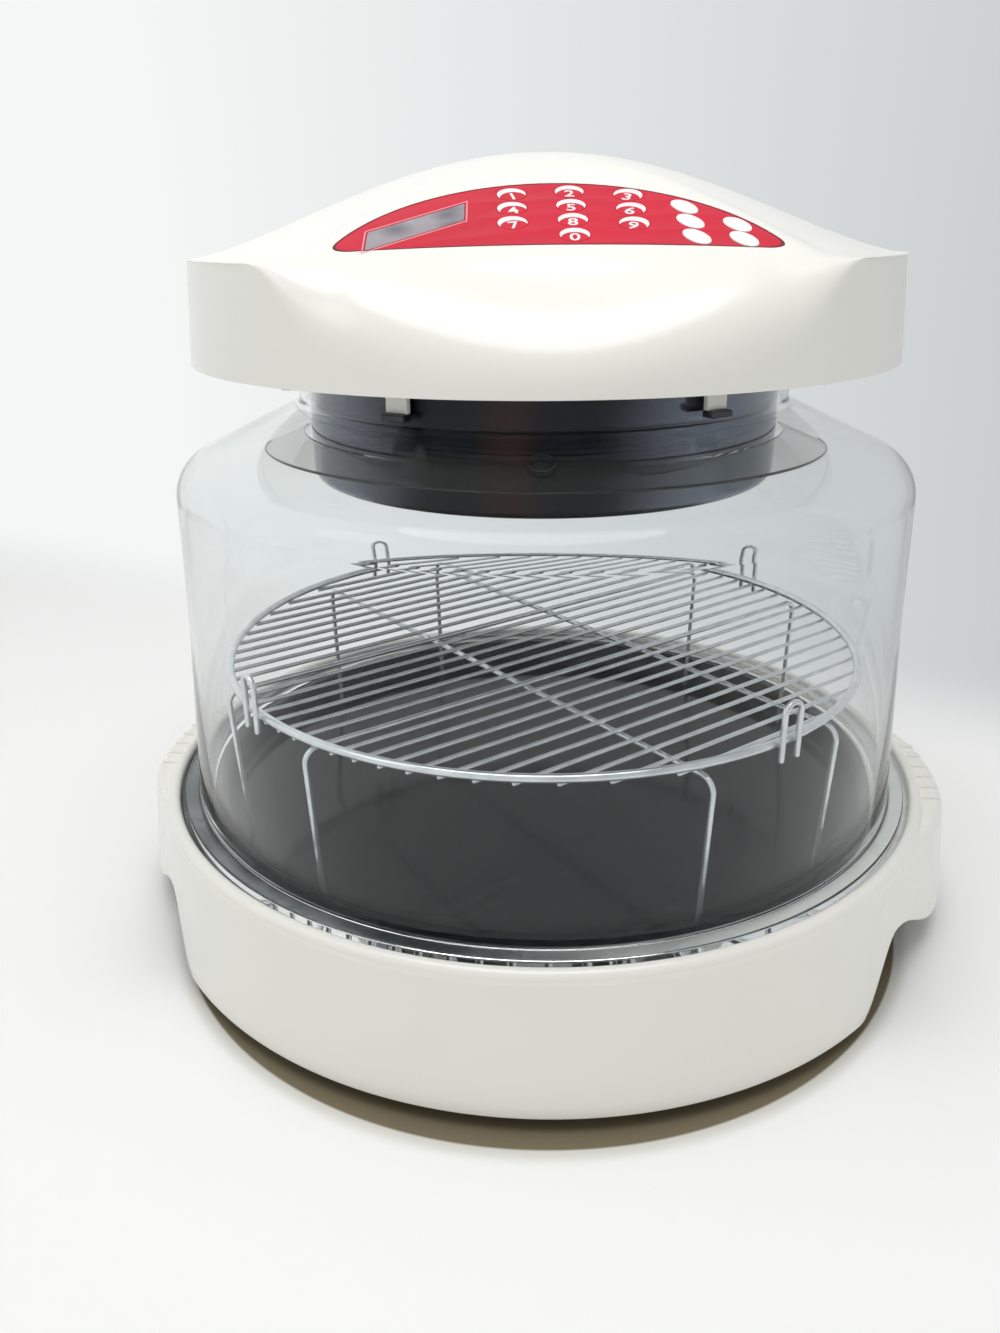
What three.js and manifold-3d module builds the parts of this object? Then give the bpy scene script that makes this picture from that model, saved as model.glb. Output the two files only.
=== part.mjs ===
// Countertop halogen oven: base tray, liner pan, wire rack, clear dome and a power head that
// holds the ring lamp, the fans, the motor and a keypad. Millimetres, +Z up, front towards -Y.
// The origin is on the table, under the middle of the oven.
import * as THREE from "three";
import { mergeVertices } from "three/addons/utils/BufferGeometryUtils.js";
import Module from "manifold-3d";

const wasm = await Module();
wasm.setup();

// Clearances and cutting allowances
const seatGap = 0.3;            // between two faces that touch
const slideGap = 0.4;           // around a key in its hole
const overrun = 2;              // how far a cutter runs past what it cuts

// Radii that fit into each other, from the dome's wall outwards and inwards
const domeSkirtRadius = 165;    // outside of the dome's wall just above the flange
const domeWall = 2.5;
const domeFlangeWidth = 7;      // from that wall to the flange's edge
const domeFlangeRadius = domeSkirtRadius + domeFlangeWidth;
const recessClearance = 2.3;
const trayRecessRadius = domeFlangeRadius + recessClearance; // recess that takes the flange
const trayRimWidth = 5.7;
const trayRimRadius = trayRecessRadius + trayRimWidth;       // outside of the rim bead
const panRimClearance = 1.9;
const panRimRadius = domeSkirtRadius - domeWall - panRimClearance;
const panRimWidth = 6;
const panWallRadius = panRimRadius - panRimWidth;            // inside, at the top
const panDraft = 3.1;
const panFloorRadius = panWallRadius - panDraft;
const panSheet = 1.2;
const wellClearance = 2.2;
const trayWellRadius = panWallRadius + panSheet + wellClearance;
const rackClearance = 4;
const rackRadius = panFloorRadius - rackClearance;           // outside of the ring

// Base tray
const trayHeight = 66;          // table to the top of the rim bead
const trayLift = 6;             // table to the bottom edge of the wall
const trayFlare = 5.8;          // how much wider the wall is at its bottom edge
const trayWall = 3;
const trayRimRound = 3.2;
const beadSeamShare = 0.99;     // of the drop from the bead's foot to a handle's top
const trayLedgeHeight = 62;     // ledge under the flange
const trayWellFloor = 47;
const earTop = 61;              // the handles' top, lower than the bead
const earReach = 10.4;          // from the bead to a handle's outer face, at the rim
const earFace = trayRimRadius + earReach;
const earBow = 1.9;             // how far that face falls back at its corners
const earCornerAngle = 14;      // degrees from the X axis to a handle's corner
const earRootAngle = 22;        // degrees to where it leaves the round wall, at the top
const earRootSpread = 13;       // degrees more further down
const earRootDepth = 27;        // how far down it has spread as far as it goes
const earCornerBlend = 6;
const earRootBlend = 3.5;
const earRound = 3.5;
const archPeak = 35;          // finger arch in the wall's bottom edge beside each handle
const archStartAngle = 41;      // degrees, where the arch starts
const archPeakAngle = 31.5;     // degrees, where it is highest
const earEdge = 14;             // bottom edge of a handle's outer face
const ridgeCount = 6;
const ridgePitch = 10.7;
const ridgeWidth = 1.8;
const ridgeHeight = 0.9;
const ridgeMargin = 4.5;
const trayRibCount = 8;
const trayRibThickness = 2.5;
const trayRibDepth = 14;
const trayRibInnerRadius = 40;

// Feet
const footInset = 10;           // from the well's wall to the middle of a foot
const footCircleRadius = trayWellRadius - footInset;
const footAngle = 57;           // degrees from the X axis
const footRadius = 10;
const footEdge = 0.5;
const footStemRadius = 3;
const footStemLength = 9;
const footBossRadius = 6.5;

// Liner pan
const panFloorHeight = 50;      // top of the floor, where the rack stands
const panFloorRound = 2.5;

// Wire rack
const rackHeight = 125;         // middle of the ring wire
const ringWireRadius = 2.5;
const barWireRadius = 1.6;
const barCount = 28;
const barSpan = 28.92;          // pitches across the ring: the outermost bars stop short of it
const barPitch = 2 * rackRadius / barSpan;
const rackTurn = 43.6;           // degrees from the X axis to the bars
const barWeld = 0.9;            // how far a bar sinks into the ring at its weld
const barOverhang = 3;          // how far a bar's end stands out past the ring
const legWireRadius = 1.5;
const legBarIndex = 10;         // the bar, counted from one side, whose place a leg wire takes
const legBendRadius = 6;
const legLean = 3;              // a foot stands this much further in than its bend
const loopWireRadius = 1.5;
const loopWidth = 9;
const loopBendShare = 0.9;      // of half its width
const loopRise = 17;            // above the ring's middle
const loopDrop = 6;             // below the ring's middle

// Clear dome
const domeFlangeThickness = 3.3;
const domeWaistTaper = 4;       // how much narrower the wall is half way up
const domeWaistRadius = domeSkirtRadius - domeWaistTaper;
const domeWaistHeight = 149;
const domeShoulderTaper = 5.4;
const domeShoulderRadius = domeSkirtRadius - domeShoulderTaper;
const domeShoulderHeight = 213.5; // corner between wall and deck, before it is rounded
const domeShoulderRound = 16;
const domeNeckRadius = 105.5;
const domeNeckRootHeight = 238.8;
const domeNeckRound = 4;
const domeNeckTop = 256;
const gateMarkRadius = 5.2;
const gateMarkInset = 14.5;     // from the neck to the mark
const gateMarkCircle = domeNeckRadius + gateMarkInset;
const gateMarkProud = 0.5;
const gateMarkAngle = 4.6;      // degrees, aside from the front

// Power head cover, in the head's own frame
const headTurn = 7.1;           // degrees, the head stands slightly turned on the dome
const coverLift = 1;            // from the neck's top to the cover's bottom edge
const coverBottom = domeNeckTop + coverLift;
const coverRise = 78;
const coverPeak = coverBottom + coverRise;
const coverOverhang = 42.5;     // from the dome's neck to the cover's wall
const coverRadius = domeNeckRadius + coverOverhang;
const coverWall = 2.8;
const wingDrop = 39;            // from the peak to the cover's edge at the sides
const frontDrop = 56;
const backDrop = 50;
const wingEdgeHeight = coverPeak - wingDrop;
const frontEdgeHeight = coverPeak - frontDrop;
const backEdgeHeight = coverPeak - backDrop;
const wingAngle = 44;           // degrees each way that the side edge stays high
const wingFade = 16;            // degrees more until its crisp edge is round
const coverDraft = 2.8;         // how much narrower the wall is at the top
const wingRound = 2.6;
const frontRound = 13;
const sideFullness = 1.6;       // exponents of the crown's section
const frontFullness = 1.8;
const crownShares = [0.85, 0.73, 0.6, 0.45, 0.28]; // of the radius, where its rings lie
const innerCrownShares = [0.82, 0.6, 0.3];
const panelFade = 14;           // the crown is levelled to the panel's plane this far around it
const ventSlotCount = 4;        // on each side of the cord bushing
const ventSlotWidth = 2.6;
const ventSlotHeight = 15;
const ventSlotLift = 8;          // from the cover's bottom edge
const ventSlotBottom = coverBottom + ventSlotLift;
const ventSlotPitch = 6.5;      // degrees
const ventStartAngle = 13;      // degrees from the middle of the back

// Control panel, on a plane that faces up and forwards
const panelTilt = 23.7;         // degrees
const panelCentreY = -78;
const panelDrop = 26.1;         // from the peak to the panel's centre
const panelCentreHeight = coverPeak - panelDrop;
const panelHalfWidth = 77;
const panelArcRadius = 82.9;
const panelArcApex = 31.6;      // the rear arc's top, up the slope from the panel's centre
const panelArcShift = 1.2;      // the outline's middle, across from the panel's centre
const panelFrontEdge = -23.8;
const panelFrontBow = 4.8;
const panelArcSteps = 22;
const panelFrontSteps = 8;
const panelSheet = 1.6;
const membraneSheet = 0.8;
const pocketWall = 2.4;
const keyTravel = 0.5;
const keyProud = 0.45;
const numberKeyWidth = 10.8;
const numberKeyDepth = 10;
const numberColumnPitch = 21.2;
const keyRowPitch = 12;
const numberRowTop = 24.2;
const keyArcRadius = 82;
const keyArcCentre = 4.5;
const ovalKeyWidth = 12;
const ovalKeyDepth = 7.2;
const ovalPlaces = [[47.4, 10], [48, -2], [48.6, -14.2], [63.9, -5], [64.4, -16.2]]; // across, up
const ovalTilt = -60;           // degrees
const windowLength = 40;
const windowDepth = 11.5;
const windowCentreAcross = -47;
const windowCentreUp = -3.6;
const windowTilt = 33.5;        // degrees

// Head underside
const plateThickness = 2.5;
const plateClearance = 1;
const hookWidth = 11;
const hookThickness = 2.6;
const hookLength = 12.5;
const hookLipHeight = 2.6;
const hookLipReach = 3;
const hookLipOverhang = 1.2;
const hookClearance = 0.9;
const hookInnerRadius = domeNeckRadius + hookClearance;
const hookAngle = 33;           // degrees each side of the front and of the back

// Steel skirt round the lamp
const skirtClearance = 2;
const skirtRadius = domeNeckRadius - domeWall - skirtClearance;
const skirtSheet = 1.2;
const skirtBottom = 206;
const skirtRound = 6;
const skirtLip = 9;             // inward lip that carries the guard
const skirtFlange = 5;

// Lamp guard
const guardSheet = 1.5;
const guardHubRadius = 20;
const guardBandCount = 2;
const guardSlotCount = 6;
const guardWeb = 5;             // metal between slots

// Reflector and lamp
const reflectorSheet = 0.8;
const reflectorHeight = 246;
const reflectorDish = 8;
const reflectorFlatShare = 0.87; // of its radius
const reflectorBore = 7;
const lampInset = 31;           // from the skirt to the lamp's middle line
const lampRadius = skirtRadius - lampInset;
const lampTubeRadius = 5.5;
const lampHeight = 228;
const lampGapAngle = 34;        // degrees, open at the back
const lampCapRadius = 7.5;
const lampCapLength = 16;
const lampStemShare = 0.6;      // of the cap's radius
const clipWidth = 5;
const clipSheet = 1.4;

// Fans, shaft and motor
const shaftRadius = 3;
const shaftBottom = 219;
const shaftStub = 0.6;          // how far it stands out of the motor
const fanHubRadius = 11;
const fanInset = 51;            // from the skirt to the blades' tips
const fanRadius = skirtRadius - fanInset;
const fanHeight = 12;
const fanBottom = 221;
const bladeCount = 6;
const bladeThickness = 1.6;
const bladeRootShare = 0.8;     // of the hub's radius
const bladeHeightShare = 0.85;  // of the fan's height
const bladePitch = 28;          // degrees
const coolerInset = 57;
const coolerRadius = skirtRadius - coolerInset;
const coolerHeight = 10;
const coolerLift = 3;           // above the deck
const deckSheet = 1.5;
const deckMargin = 6;           // how far it reaches past the skirt's flange
const deckRadius = skirtRadius + skirtFlange + deckMargin;
const deckBore = 9;
const deckHoleShare = 0.6;      // of the deck's radius
const bracketSheet = 2;
const bracketRadius = 34;
const bracketLegCircle = 56;
const bracketLegShare = 0.7;    // of its radius, where a leg leaves the plate
const bracketLegWidth = 12;
const bracketHeight = 20;       // deck to the bracket's plate
const motorRadius = 28;
const motorHeight = 24;
const motorNoseRadius = 9;
const motorNoseHeight = 4;

// Electronics
const boardWidth = 112;
const boardDepth = 34;
const boardSheet = 1.6;
const boardDrop = 9;            // from the pocket's floor to the board
const boardPostRadius = 3;
const boardPostInset = 6;
const displayHeight = 6;
const displayMargin = 1.5;
const relayWidth = 15;
const relayDepth = 11;
const relayHeight = 10;
const sensorRadius = 8;
const sensorHeight = 7;
const sensorCircle = 30;
const bushingRadius = 6;
const bushingBore = 3.4;
const bushingLength = 16;
const bushingLift = 10.5;        // from the cover's bottom edge
const bushingHeight = coverBottom + bushingLift;
const bushingFlange = 2;
const bushingNeckShare = 0.7;   // of its length
const bushingTipShare = 0.8;    // of its radius
const bushingFlangeSheet = 2;
const bushingSetback = 1.4;     // from its flange to the curved wall before it

// Screws that hold the plate to the cover
const screwCount = 4;
const screwInset = 15;
const screwCircle = coverRadius - screwInset;
const screwRadius = 1.6;
const screwHeadRadius = 3.6;
const screwHeadHeight = 2;
const screwCrownShare = 0.8;    // of the head's radius
const screwLength = 13;
const bossRadius = 4.6;

// Facets
const roundSides = 28;
const ringSides = 36;
const quarterTurn = 90;         // degrees
const halfTurn = 180;
const fullTurn = 360;
const trayHandleSteps = 9;      // steps of the tray's outline from a handle's middle to its arch
const trayRoundSteps = 4;       // steps from there to the front or back
const wireSides = 6;
const smallSides = 10;
const midSides = 16;
const screwSides = 8;
const arcSteps = 2;

// Materials
function paint(color, roughness, metalness, opacity = 1) {
  return new THREE.MeshStandardMaterial({
    color, roughness, metalness, opacity, transparent: opacity < 1,
  });
}
const creamPlastic = paint(0xf1eee6, 0.3, 0);
const clearPlastic = paint(0xdfe6e8, 0.06, 0, 0.3);
const blackEnamel = paint(0x17181b, 0.22, 0.1);
const chromeWire = paint(0xc9ced2, 0.15, 1);
const darkSteel = paint(0x2c3540, 0.18, 1);
const brightSheet = paint(0xc4c7c9, 0.3, 1);
const redFilm = paint(0xdc2a45, 0.28, 0);
const whiteKey = paint(0xf4f4f2, 0.35, 0);
const smokedWindow = paint(0x23262b, 0.1, 0);
const blackRubber = paint(0x202022, 0.8, 0);
const quartzGlass = paint(0xe8d9bc, 0.1, 0, 0.6);
const ceramic = paint(0xe9e4d8, 0.6, 0);
const boardGreen = paint(0x2c6a45, 0.5, 0);
const motorSteel = paint(0x8f9396, 0.4, 1);

// Small helpers for angles, blends and solids
const radians = THREE.MathUtils.degToRad;
const smooth = THREE.MathUtils.smoothstep;

function softMin(a, b, blend) {
  const closeness = Math.max(blend - Math.abs(a - b), 0) / blend;
  return Math.min(a, b) - closeness * closeness * blend / 4;
}

function softMax(a, b, blend) {
  return -softMin(-a, -b, blend);
}

function signedVolume(position, index) {
  const a = new THREE.Vector3(), b = new THREE.Vector3(), c = new THREE.Vector3();
  let sum = 0;
  for (let i = 0; i < index.count; i += 3) {
    a.fromBufferAttribute(position, index.getX(i));
    b.fromBufferAttribute(position, index.getX(i + 1));
    c.fromBufferAttribute(position, index.getX(i + 2));
    sum += a.dot(b.cross(c));
  }
  return sum;
}

// A closed solid from any closed geometry, turned so that its faces point out.
function solidOf(geometry) {
  const bare = geometry.clone();
  bare.deleteAttribute("normal");
  bare.deleteAttribute("uv");
  const merged = mergeVertices(bare, 1e-4);
  const { position } = merged.attributes;
  const corners = Array.from(merged.index.array);
  if (signedVolume(position, merged.index) < 0) corners.reverse();
  const kept = [];
  for (let i = 0; i < corners.length; i += 3) {
    const [a, b, c] = corners.slice(i, i + 3);
    if (a !== b && b !== c && c !== a) kept.push(a, b, c);
  }
  return new wasm.Manifold(new wasm.Mesh({
    numProp: 3,
    vertProperties: new Float32Array(position.array),
    triVerts: new Uint32Array(kept),
  }));
}

function geometryOf(solid) {
  const { vertProperties, triVerts } = solid.getMesh();
  const geometry = new THREE.BufferGeometry();
  geometry.setAttribute("position", new THREE.BufferAttribute(vertProperties, 3));
  geometry.setIndex(new THREE.BufferAttribute(triVerts, 1));
  return geometry;
}

function joined(solids) {
  return solids.reduce((sum, next) => sum.add(next));
}

function without(solid, cutters) {
  return cutters.reduce((left, cutter) => left.subtract(cutter), solid);
}

function piece(name, material, solid) {
  const mesh = new THREE.Mesh(geometryOf(solid), material);
  mesh.name = name;
  return mesh;
}

// Geometry turned or moved by a matrix, as a solid
function placed(geometry, matrix) {
  return solidOf(geometry.clone().applyMatrix4(matrix));
}

function moved(x, y, z) {
  return new THREE.Matrix4().makeTranslation(x, y, z);
}

function turned(degrees) {
  return new THREE.Matrix4().makeRotationZ(radians(degrees));
}

// A revolve about Z of [radius, height] points, closed on the axis or on itself
function revolve(points, sides = roundSides) {
  const profile = points.map(([radius, height]) => new THREE.Vector2(radius, height));
  const onAxis = points[0][0] === 0 && points.at(-1)[0] === 0;
  if (!onAxis) profile.push(profile[0].clone());
  return solidOf(new THREE.LatheGeometry(profile, sides).rotateX(Math.PI / 2));
}

function cylinder(radius, bottom, top, sides = midSides) {
  return revolve([[0, bottom], [radius, bottom], [radius, top], [0, top]], sides);
}

function box(width, depth, height, matrix) {
  return placed(new THREE.BoxGeometry(width, depth, height), matrix);
}

// Corners [x, y, radius] of an open outline, each rounded by an arc
function rounded(corners) {
  const points = [];
  corners.forEach(([x, y, radius = 0], i) => {
    const before = corners[i - 1], after = corners[i + 1];
    if (!radius || !before || !after) {
      points.push([x, y]);
      return;
    }
    const corner = new THREE.Vector2(x, y);
    const back = new THREE.Vector2(before[0], before[1]).sub(corner).normalize();
    const ahead = new THREE.Vector2(after[0], after[1]).sub(corner).normalize();
    const half = back.angleTo(ahead) / 2;
    const middle = back.clone().add(ahead).normalize();
    const centre = corner.clone().addScaledVector(middle, radius / Math.sin(half));
    const start = corner.clone().addScaledVector(back, radius / Math.tan(half)).sub(centre);
    const end = corner.clone().addScaledVector(ahead, radius / Math.tan(half)).sub(centre);
    const sweep = Math.sign(start.cross(end)) * start.angleTo(end);
    const steps = Math.max(arcSteps, Math.floor(Math.sqrt(radius) - 0.5));
    for (let k = 0; k <= steps; k++) {
      const spoke = start.clone().rotateAround(new THREE.Vector2(), sweep * k / steps);
      points.push([centre.x + spoke.x, centre.y + spoke.y]);
    }
  });
  return points;
}

// The same open outline moved to its left by a distance, with its radii kept parallel
function offset(corners, distance) {
  const flat = corners.map(([x, y]) => new THREE.Vector2(x, y));
  const side = (i) => {
    const run = flat[i + 1].clone().sub(flat[i]).normalize();
    return { run, start: flat[i].clone().addScaledVector(new THREE.Vector2(-run.y, run.x), distance) };
  };
  return corners.map(([, , radius = 0], i) => {
    const last = flat.length - 1;
    if (i === 0) return [...side(0).start, 0];
    if (i === last) {
      const { run, start } = side(last - 1);
      return [...start.addScaledVector(run, flat[last].distanceTo(flat[last - 1])), 0];
    }
    const one = side(i - 1), two = side(i);
    const along = two.start.clone().sub(one.start).cross(two.run) / one.run.cross(two.run);
    const corner = one.start.addScaledVector(one.run, along);
    const grown = radius - Math.sign(one.run.cross(two.run)) * distance;
    return [corner.x, corner.y, radius ? Math.max(grown, distance / 2) : 0];
  });
}

// A closed skin over rings of points, listed from the bottom up, with a point at each end
function loft(bottomPoint, rings, topPoint) {
  const count = rings[0].length;
  const vertices = [bottomPoint, ...rings.flat(), topPoint].flatMap((p) => [...p]);
  const last = rings.length * count + 1;
  const index = [];
  for (let i = 0; i < count; i++) {
    const j = (i + 1) % count;
    index.push(0, 1 + j, 1 + i);
    index.push(last, last - count + i, last - count + j);
    for (let k = 0; k < rings.length - 1; k++) {
      const low = 1 + k * count, high = low + count;
      index.push(low + i, low + j, high + j);
      index.push(low + i, high + j, high + i);
    }
  }
  const geometry = new THREE.BufferGeometry();
  geometry.setAttribute("position", new THREE.Float32BufferAttribute(vertices, 3));
  geometry.setIndex(index);
  return solidOf(geometry);
}

// A path with a step at each listed point, so that straight wire needs no steps
class WirePath extends THREE.Curve {
  constructor(points) {
    super();
    this.points = points;
  }
  getPoint(t) {
    const place = t * (this.points.length - 1);
    const i = Math.min(Math.floor(place), this.points.length - 2);
    return this.points[i].clone().lerp(this.points[i + 1], place - i);
  }
  getPointAt(u) {
    return this.getPoint(u);
  }
  getTangentAt(u) {
    const i = Math.round(u * (this.points.length - 1));
    const next = this.points[Math.min(i + 1, this.points.length - 1)];
    const last = this.points[Math.max(i - 1, 0)];
    return next.clone().sub(last).normalize();
  }
}

function circleShape(radius, sides) {
  const points = Array.from({ length: sides }, (_, i) => {
    const angle = 2 * Math.PI * i / sides;
    return new THREE.Vector2(radius * Math.cos(angle), radius * Math.sin(angle));
  });
  return new THREE.Shape(points);
}

function wire(points, radius, sides = wireSides) {
  const path = new WirePath(points);
  return solidOf(new THREE.ExtrudeGeometry(circleShape(radius, sides), {
    steps: points.length - 1, extrudePath: path, bevelEnabled: false,
  }));
}

function ringWire(radius, height, wireRadius, sides = roundSides, around = wireSides) {
  const section = Array.from({ length: around }, (_, i) => {
    const angle = 2 * Math.PI * i / around;
    return [radius + wireRadius * Math.cos(angle), height + wireRadius * Math.sin(angle)];
  });
  return revolve(section, sides);
}

// A flat outline made into a plate, between two heights
function plate(shape, bottom, top, matrix = new THREE.Matrix4(), curveSegments = 6) {
  const flat = new THREE.ExtrudeGeometry(shape, {
    depth: top - bottom, bevelEnabled: false, curveSegments,
  }).translate(0, 0, bottom);
  return placed(flat, matrix);
}

function ellipseShape(width, depth, x, y, degrees, sides) {
  const curve = new THREE.EllipseCurve(x, y, width / 2, depth / 2, 0, 2 * Math.PI, false,
    radians(degrees));
  return new THREE.Shape(curve.getPoints(sides).slice(0, -1));
}

// Base tray
function towardsSide(angle) {
  return THREE.MathUtils.radToDeg(Math.acos(Math.abs(Math.cos(angle))));
}

function trayAngles() {
  const handle = Array.from({ length: trayHandleSteps }, (_, i) => (
    archStartAngle * i / trayHandleSteps));
  const round = Array.from({ length: trayRoundSteps }, (_, i) => (
    archStartAngle + (quarterTurn - archStartAngle) * i / trayRoundSteps));
  const quarter = [...handle, ...round];
  const mirrored = [quarterTurn, ...quarter.slice(1).reverse()].map((angle) => halfTurn - angle);
  return [0, halfTurn].flatMap((start) => (
    [...quarter, ...mirrored].map((angle) => radians(start + angle))));
}

function spot(radius, degrees) {
  return new THREE.Vector2(radius, 0).rotateAround(new THREE.Vector2(), radians(degrees));
}

// Radius of the tray's outer surface in a direction, at a height
function trayOutline(angle, height) {
  const share = (trayHeight - height) / (trayHeight - trayLift);
  const grow = trayFlare * share;
  const round = trayRimRadius + grow;
  const aside = towardsSide(angle);
  if (aside > archStartAngle) return round;
  const face = earFace + grow - earBow * (aside / earCornerAngle) ** 2;
  const corner = spot(earFace + grow - earBow, earCornerAngle);
  const spread = earRootSpread * smooth(trayHeight - height, 0, earRootDepth);
  const edge = spot(round, earRootAngle + spread).sub(corner);
  const side = corner.cross(edge) / spot(1, aside).cross(edge);
  return softMax(round, softMin(face, side, earCornerBlend), earRootBlend);
}

function trayEdgeHeight(angle) {
  const aside = towardsSide(angle);
  const arch = smooth(-aside, -archStartAngle, -archPeakAngle);
  const handle = smooth(-aside, -archPeakAngle, -earCornerAngle);
  return trayLift + (archPeak - trayLift) * arch + (earEdge - archPeak) * handle;
}

// How much of a handle there is in a direction, from 0 to 1
function handleShare(angle) {
  return smooth(trayOutline(angle, trayHeight) - trayRimRadius, 0, earRound);
}

function trayRing(radiusAt, heightAt) {
  return trayAngles().map((angle) => {
    const height = heightAt(angle);
    const radius = radiusAt(angle, height);
    return new THREE.Vector3(radius * Math.cos(angle), radius * Math.sin(angle), height);
  });
}

function trayTurns() {
  return Array.from({ length: arcSteps + 1 }, (_, k) => Math.PI / 2 * k / arcSteps);
}

function trayOutside() {
  const rings = [trayRing(trayOutline, trayEdgeHeight)];
  for (const turn of trayTurns()) {
    const pull = (angle) => earRound * (1 - Math.cos(turn)) * handleShare(angle);
    rings.push(trayRing((angle, height) => trayOutline(angle, height) - pull(angle),
      () => earTop - earRound * (1 - Math.sin(turn))));
  }
  const beadFoot = trayHeight - trayRimRound;
  rings.push(trayRing((angle) => trayRimRadius + seatGap * handleShare(angle),
    (angle) => beadFoot + (earTop - beadFoot) * handleShare(angle) * beadSeamShare));
  for (const turn of trayTurns()) {
    rings.push(trayRing(() => trayRimRadius - trayRimRound * (1 - Math.cos(turn)),
      () => beadFoot + seatGap + (trayRimRound - seatGap) * Math.sin(turn)));
  }
  return loft(new THREE.Vector3(0, 0, trayLift), rings, new THREE.Vector3(0, 0, trayHeight));
}

function trayInside() {
  const top = earTop - trayWall;
  const inner = (angle, height) => trayOutline(angle, height) - trayWall;
  const rings = [
    trayRing(inner, (angle) => trayEdgeHeight(angle) - overrun),
    trayRing(inner, () => top - earRound),
    trayRing((angle, height) => inner(angle, height) - earRound / 2, () => top),
  ];
  return loft(new THREE.Vector3(0, 0, trayLift - overrun), rings, new THREE.Vector3(0, 0, top));
}

function trayRidges() {
  const section = new THREE.Shape([
    new THREE.Vector2(-ridgeWidth / 2, -ridgeHeight),
    new THREE.Vector2(ridgeWidth / 2, -ridgeHeight),
    new THREE.Vector2(ridgeWidth / 4, ridgeHeight),
    new THREE.Vector2(-ridgeWidth / 4, ridgeHeight),
  ]);
  const ridges = [];
  for (let i = 0; i < ridgeCount; i++) {
    const y = (i - (ridgeCount - 1) / 2) * ridgePitch;
    const start = Math.sqrt(trayRimRadius ** 2 - y ** 2) - ridgeWidth;
    const length = Math.sqrt(earFace ** 2 - y ** 2) - ridgeMargin - start;
    const bar = new THREE.ExtrudeGeometry(section, { depth: length, bevelEnabled: false })
      .rotateX(Math.PI / 2).rotateZ(Math.PI / 2);
    ridges.push(placed(bar, moved(start, y, earTop)));
    ridges.push(placed(bar, turned(halfTurn).multiply(moved(start, y, earTop))));
  }
  return ridges;
}

function footPlaces() {
  return [footAngle, halfTurn - footAngle, halfTurn + footAngle, -footAngle].map((degrees) => {
    const place = spot(footCircleRadius, degrees);
    return [place.x, place.y];
  });
}

function baseTray() {
  const floorUnderside = trayWellFloor - trayWall;
  const ledgeUnderside = trayLedgeHeight - trayWall;
  const recess = revolve([
    [0, trayWellFloor], [trayWellRadius, trayWellFloor], [trayWellRadius, trayLedgeHeight],
    [trayRecessRadius, trayLedgeHeight], [trayRecessRadius, trayHeight + overrun],
    [0, trayHeight + overrun],
  ]);
  const keptRound = revolve([
    [0, floorUnderside], [trayWellRadius + trayWall, floorUnderside],
    [trayWellRadius + trayWall, ledgeUnderside], [trayRecessRadius + trayWall, ledgeUnderside],
    [trayRecessRadius + trayWall, trayHeight + overrun], [0, trayHeight + overrun],
  ]);
  const ribLength = trayWellRadius - trayRibInnerRadius;
  const ribs = Array.from({ length: trayRibCount }, (_, i) => box(
    ribLength, trayRibThickness, trayRibDepth + trayWall / 2,
    turned(fullTurn * i / trayRibCount).multiply(moved(trayRibInnerRadius + ribLength / 2, 0,
      floorUnderside - trayRibDepth / 2 + trayWall / 4)),
  ));
  const bossBottom = trayLift + seatGap;
  const bosses = footPlaces().map(([x, y]) => cylinder(
    footBossRadius, bossBottom, floorUnderside + trayWall / 2, smallSides).translate([x, y, 0]));
  const bores = footPlaces().map(([x, y]) => cylinder(
    footStemRadius + seatGap, bossBottom - overrun, trayLift + footStemLength + overrun, smallSides)
    .translate([x, y, 0]));
  const hollow = without(trayInside(), [keptRound, ...ribs, ...bosses]);
  return without(joined([trayOutside(), ...trayRidges()]), [hollow, recess, ...bores]);
}

function foot(x, y) {
  const shape = revolve(rounded([
    [0, 0], [footRadius - footEdge, 0], [footRadius, trayLift, 0],
    [footStemRadius, trayLift], [footStemRadius, trayLift + footStemLength],
    [0, trayLift + footStemLength],
  ]), smallSides);
  return shape.translate([x, y, 0]);
}

// Liner pan, pressed from sheet: it hangs by its rim on the tray's ledge
function linerPan() {
  const rimHeight = trayLedgeHeight + seatGap + panSheet;
  const inside = [
    [0, panFloorHeight],
    [panFloorRadius, panFloorHeight, panFloorRound],
    [panWallRadius, rimHeight],
    [panRimRadius, rimHeight],
  ];
  const outside = offset(inside, -panSheet).map((corner, i, all) => {
    if (i === 0) return [0, corner[1]];
    return i === all.length - 1 ? [panRimRadius, corner[1]] : corner;
  });
  return revolve([...rounded(inside), ...rounded(outside).reverse()]);
}

// Wire rack: a welded grate on four leg wires, with four upright loops on its ring
const ringMiddle = rackRadius - ringWireRadius;
const barHeight = rackHeight - ringWireRadius + barWeld - barWireRadius;
const upperLegHeight = rackHeight - ringWireRadius - seatGap - legWireRadius;
const lowerLegHeight = upperLegHeight - 2 * legWireRadius - seatGap;
const legCircle = rackRadius + seatGap + legWireRadius;

function barOffset(i) {
  return (i - (barCount - 1) / 2) * barPitch;
}

// The two middle bars end at the ring, because a loop stands before each of their ends
function barReach(y) {
  const facesLoop = Math.abs(y) < loopWidth / 2 + loopWireRadius + barWireRadius;
  return Math.sqrt((rackRadius + (facesLoop ? 0 : barOverhang)) ** 2 - y ** 2);
}

function isLegPlace(i) {
  return i === legBarIndex || i === barCount - 1 - legBarIndex;
}

function rackGrate() {
  const bars = [];
  for (let i = 0; i < barCount; i++) {
    if (isLegPlace(i)) continue;
    const y = barOffset(i);
    const reach = barReach(y);
    bars.push(wire([new THREE.Vector3(-reach, y, barHeight), new THREE.Vector3(reach, y, barHeight)],
      barWireRadius));
  }
  const ring = ringWire(ringMiddle, rackHeight, ringWireRadius);
  return joined([ring, ...bars]).rotate([0, 0, rackTurn]);
}

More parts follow.
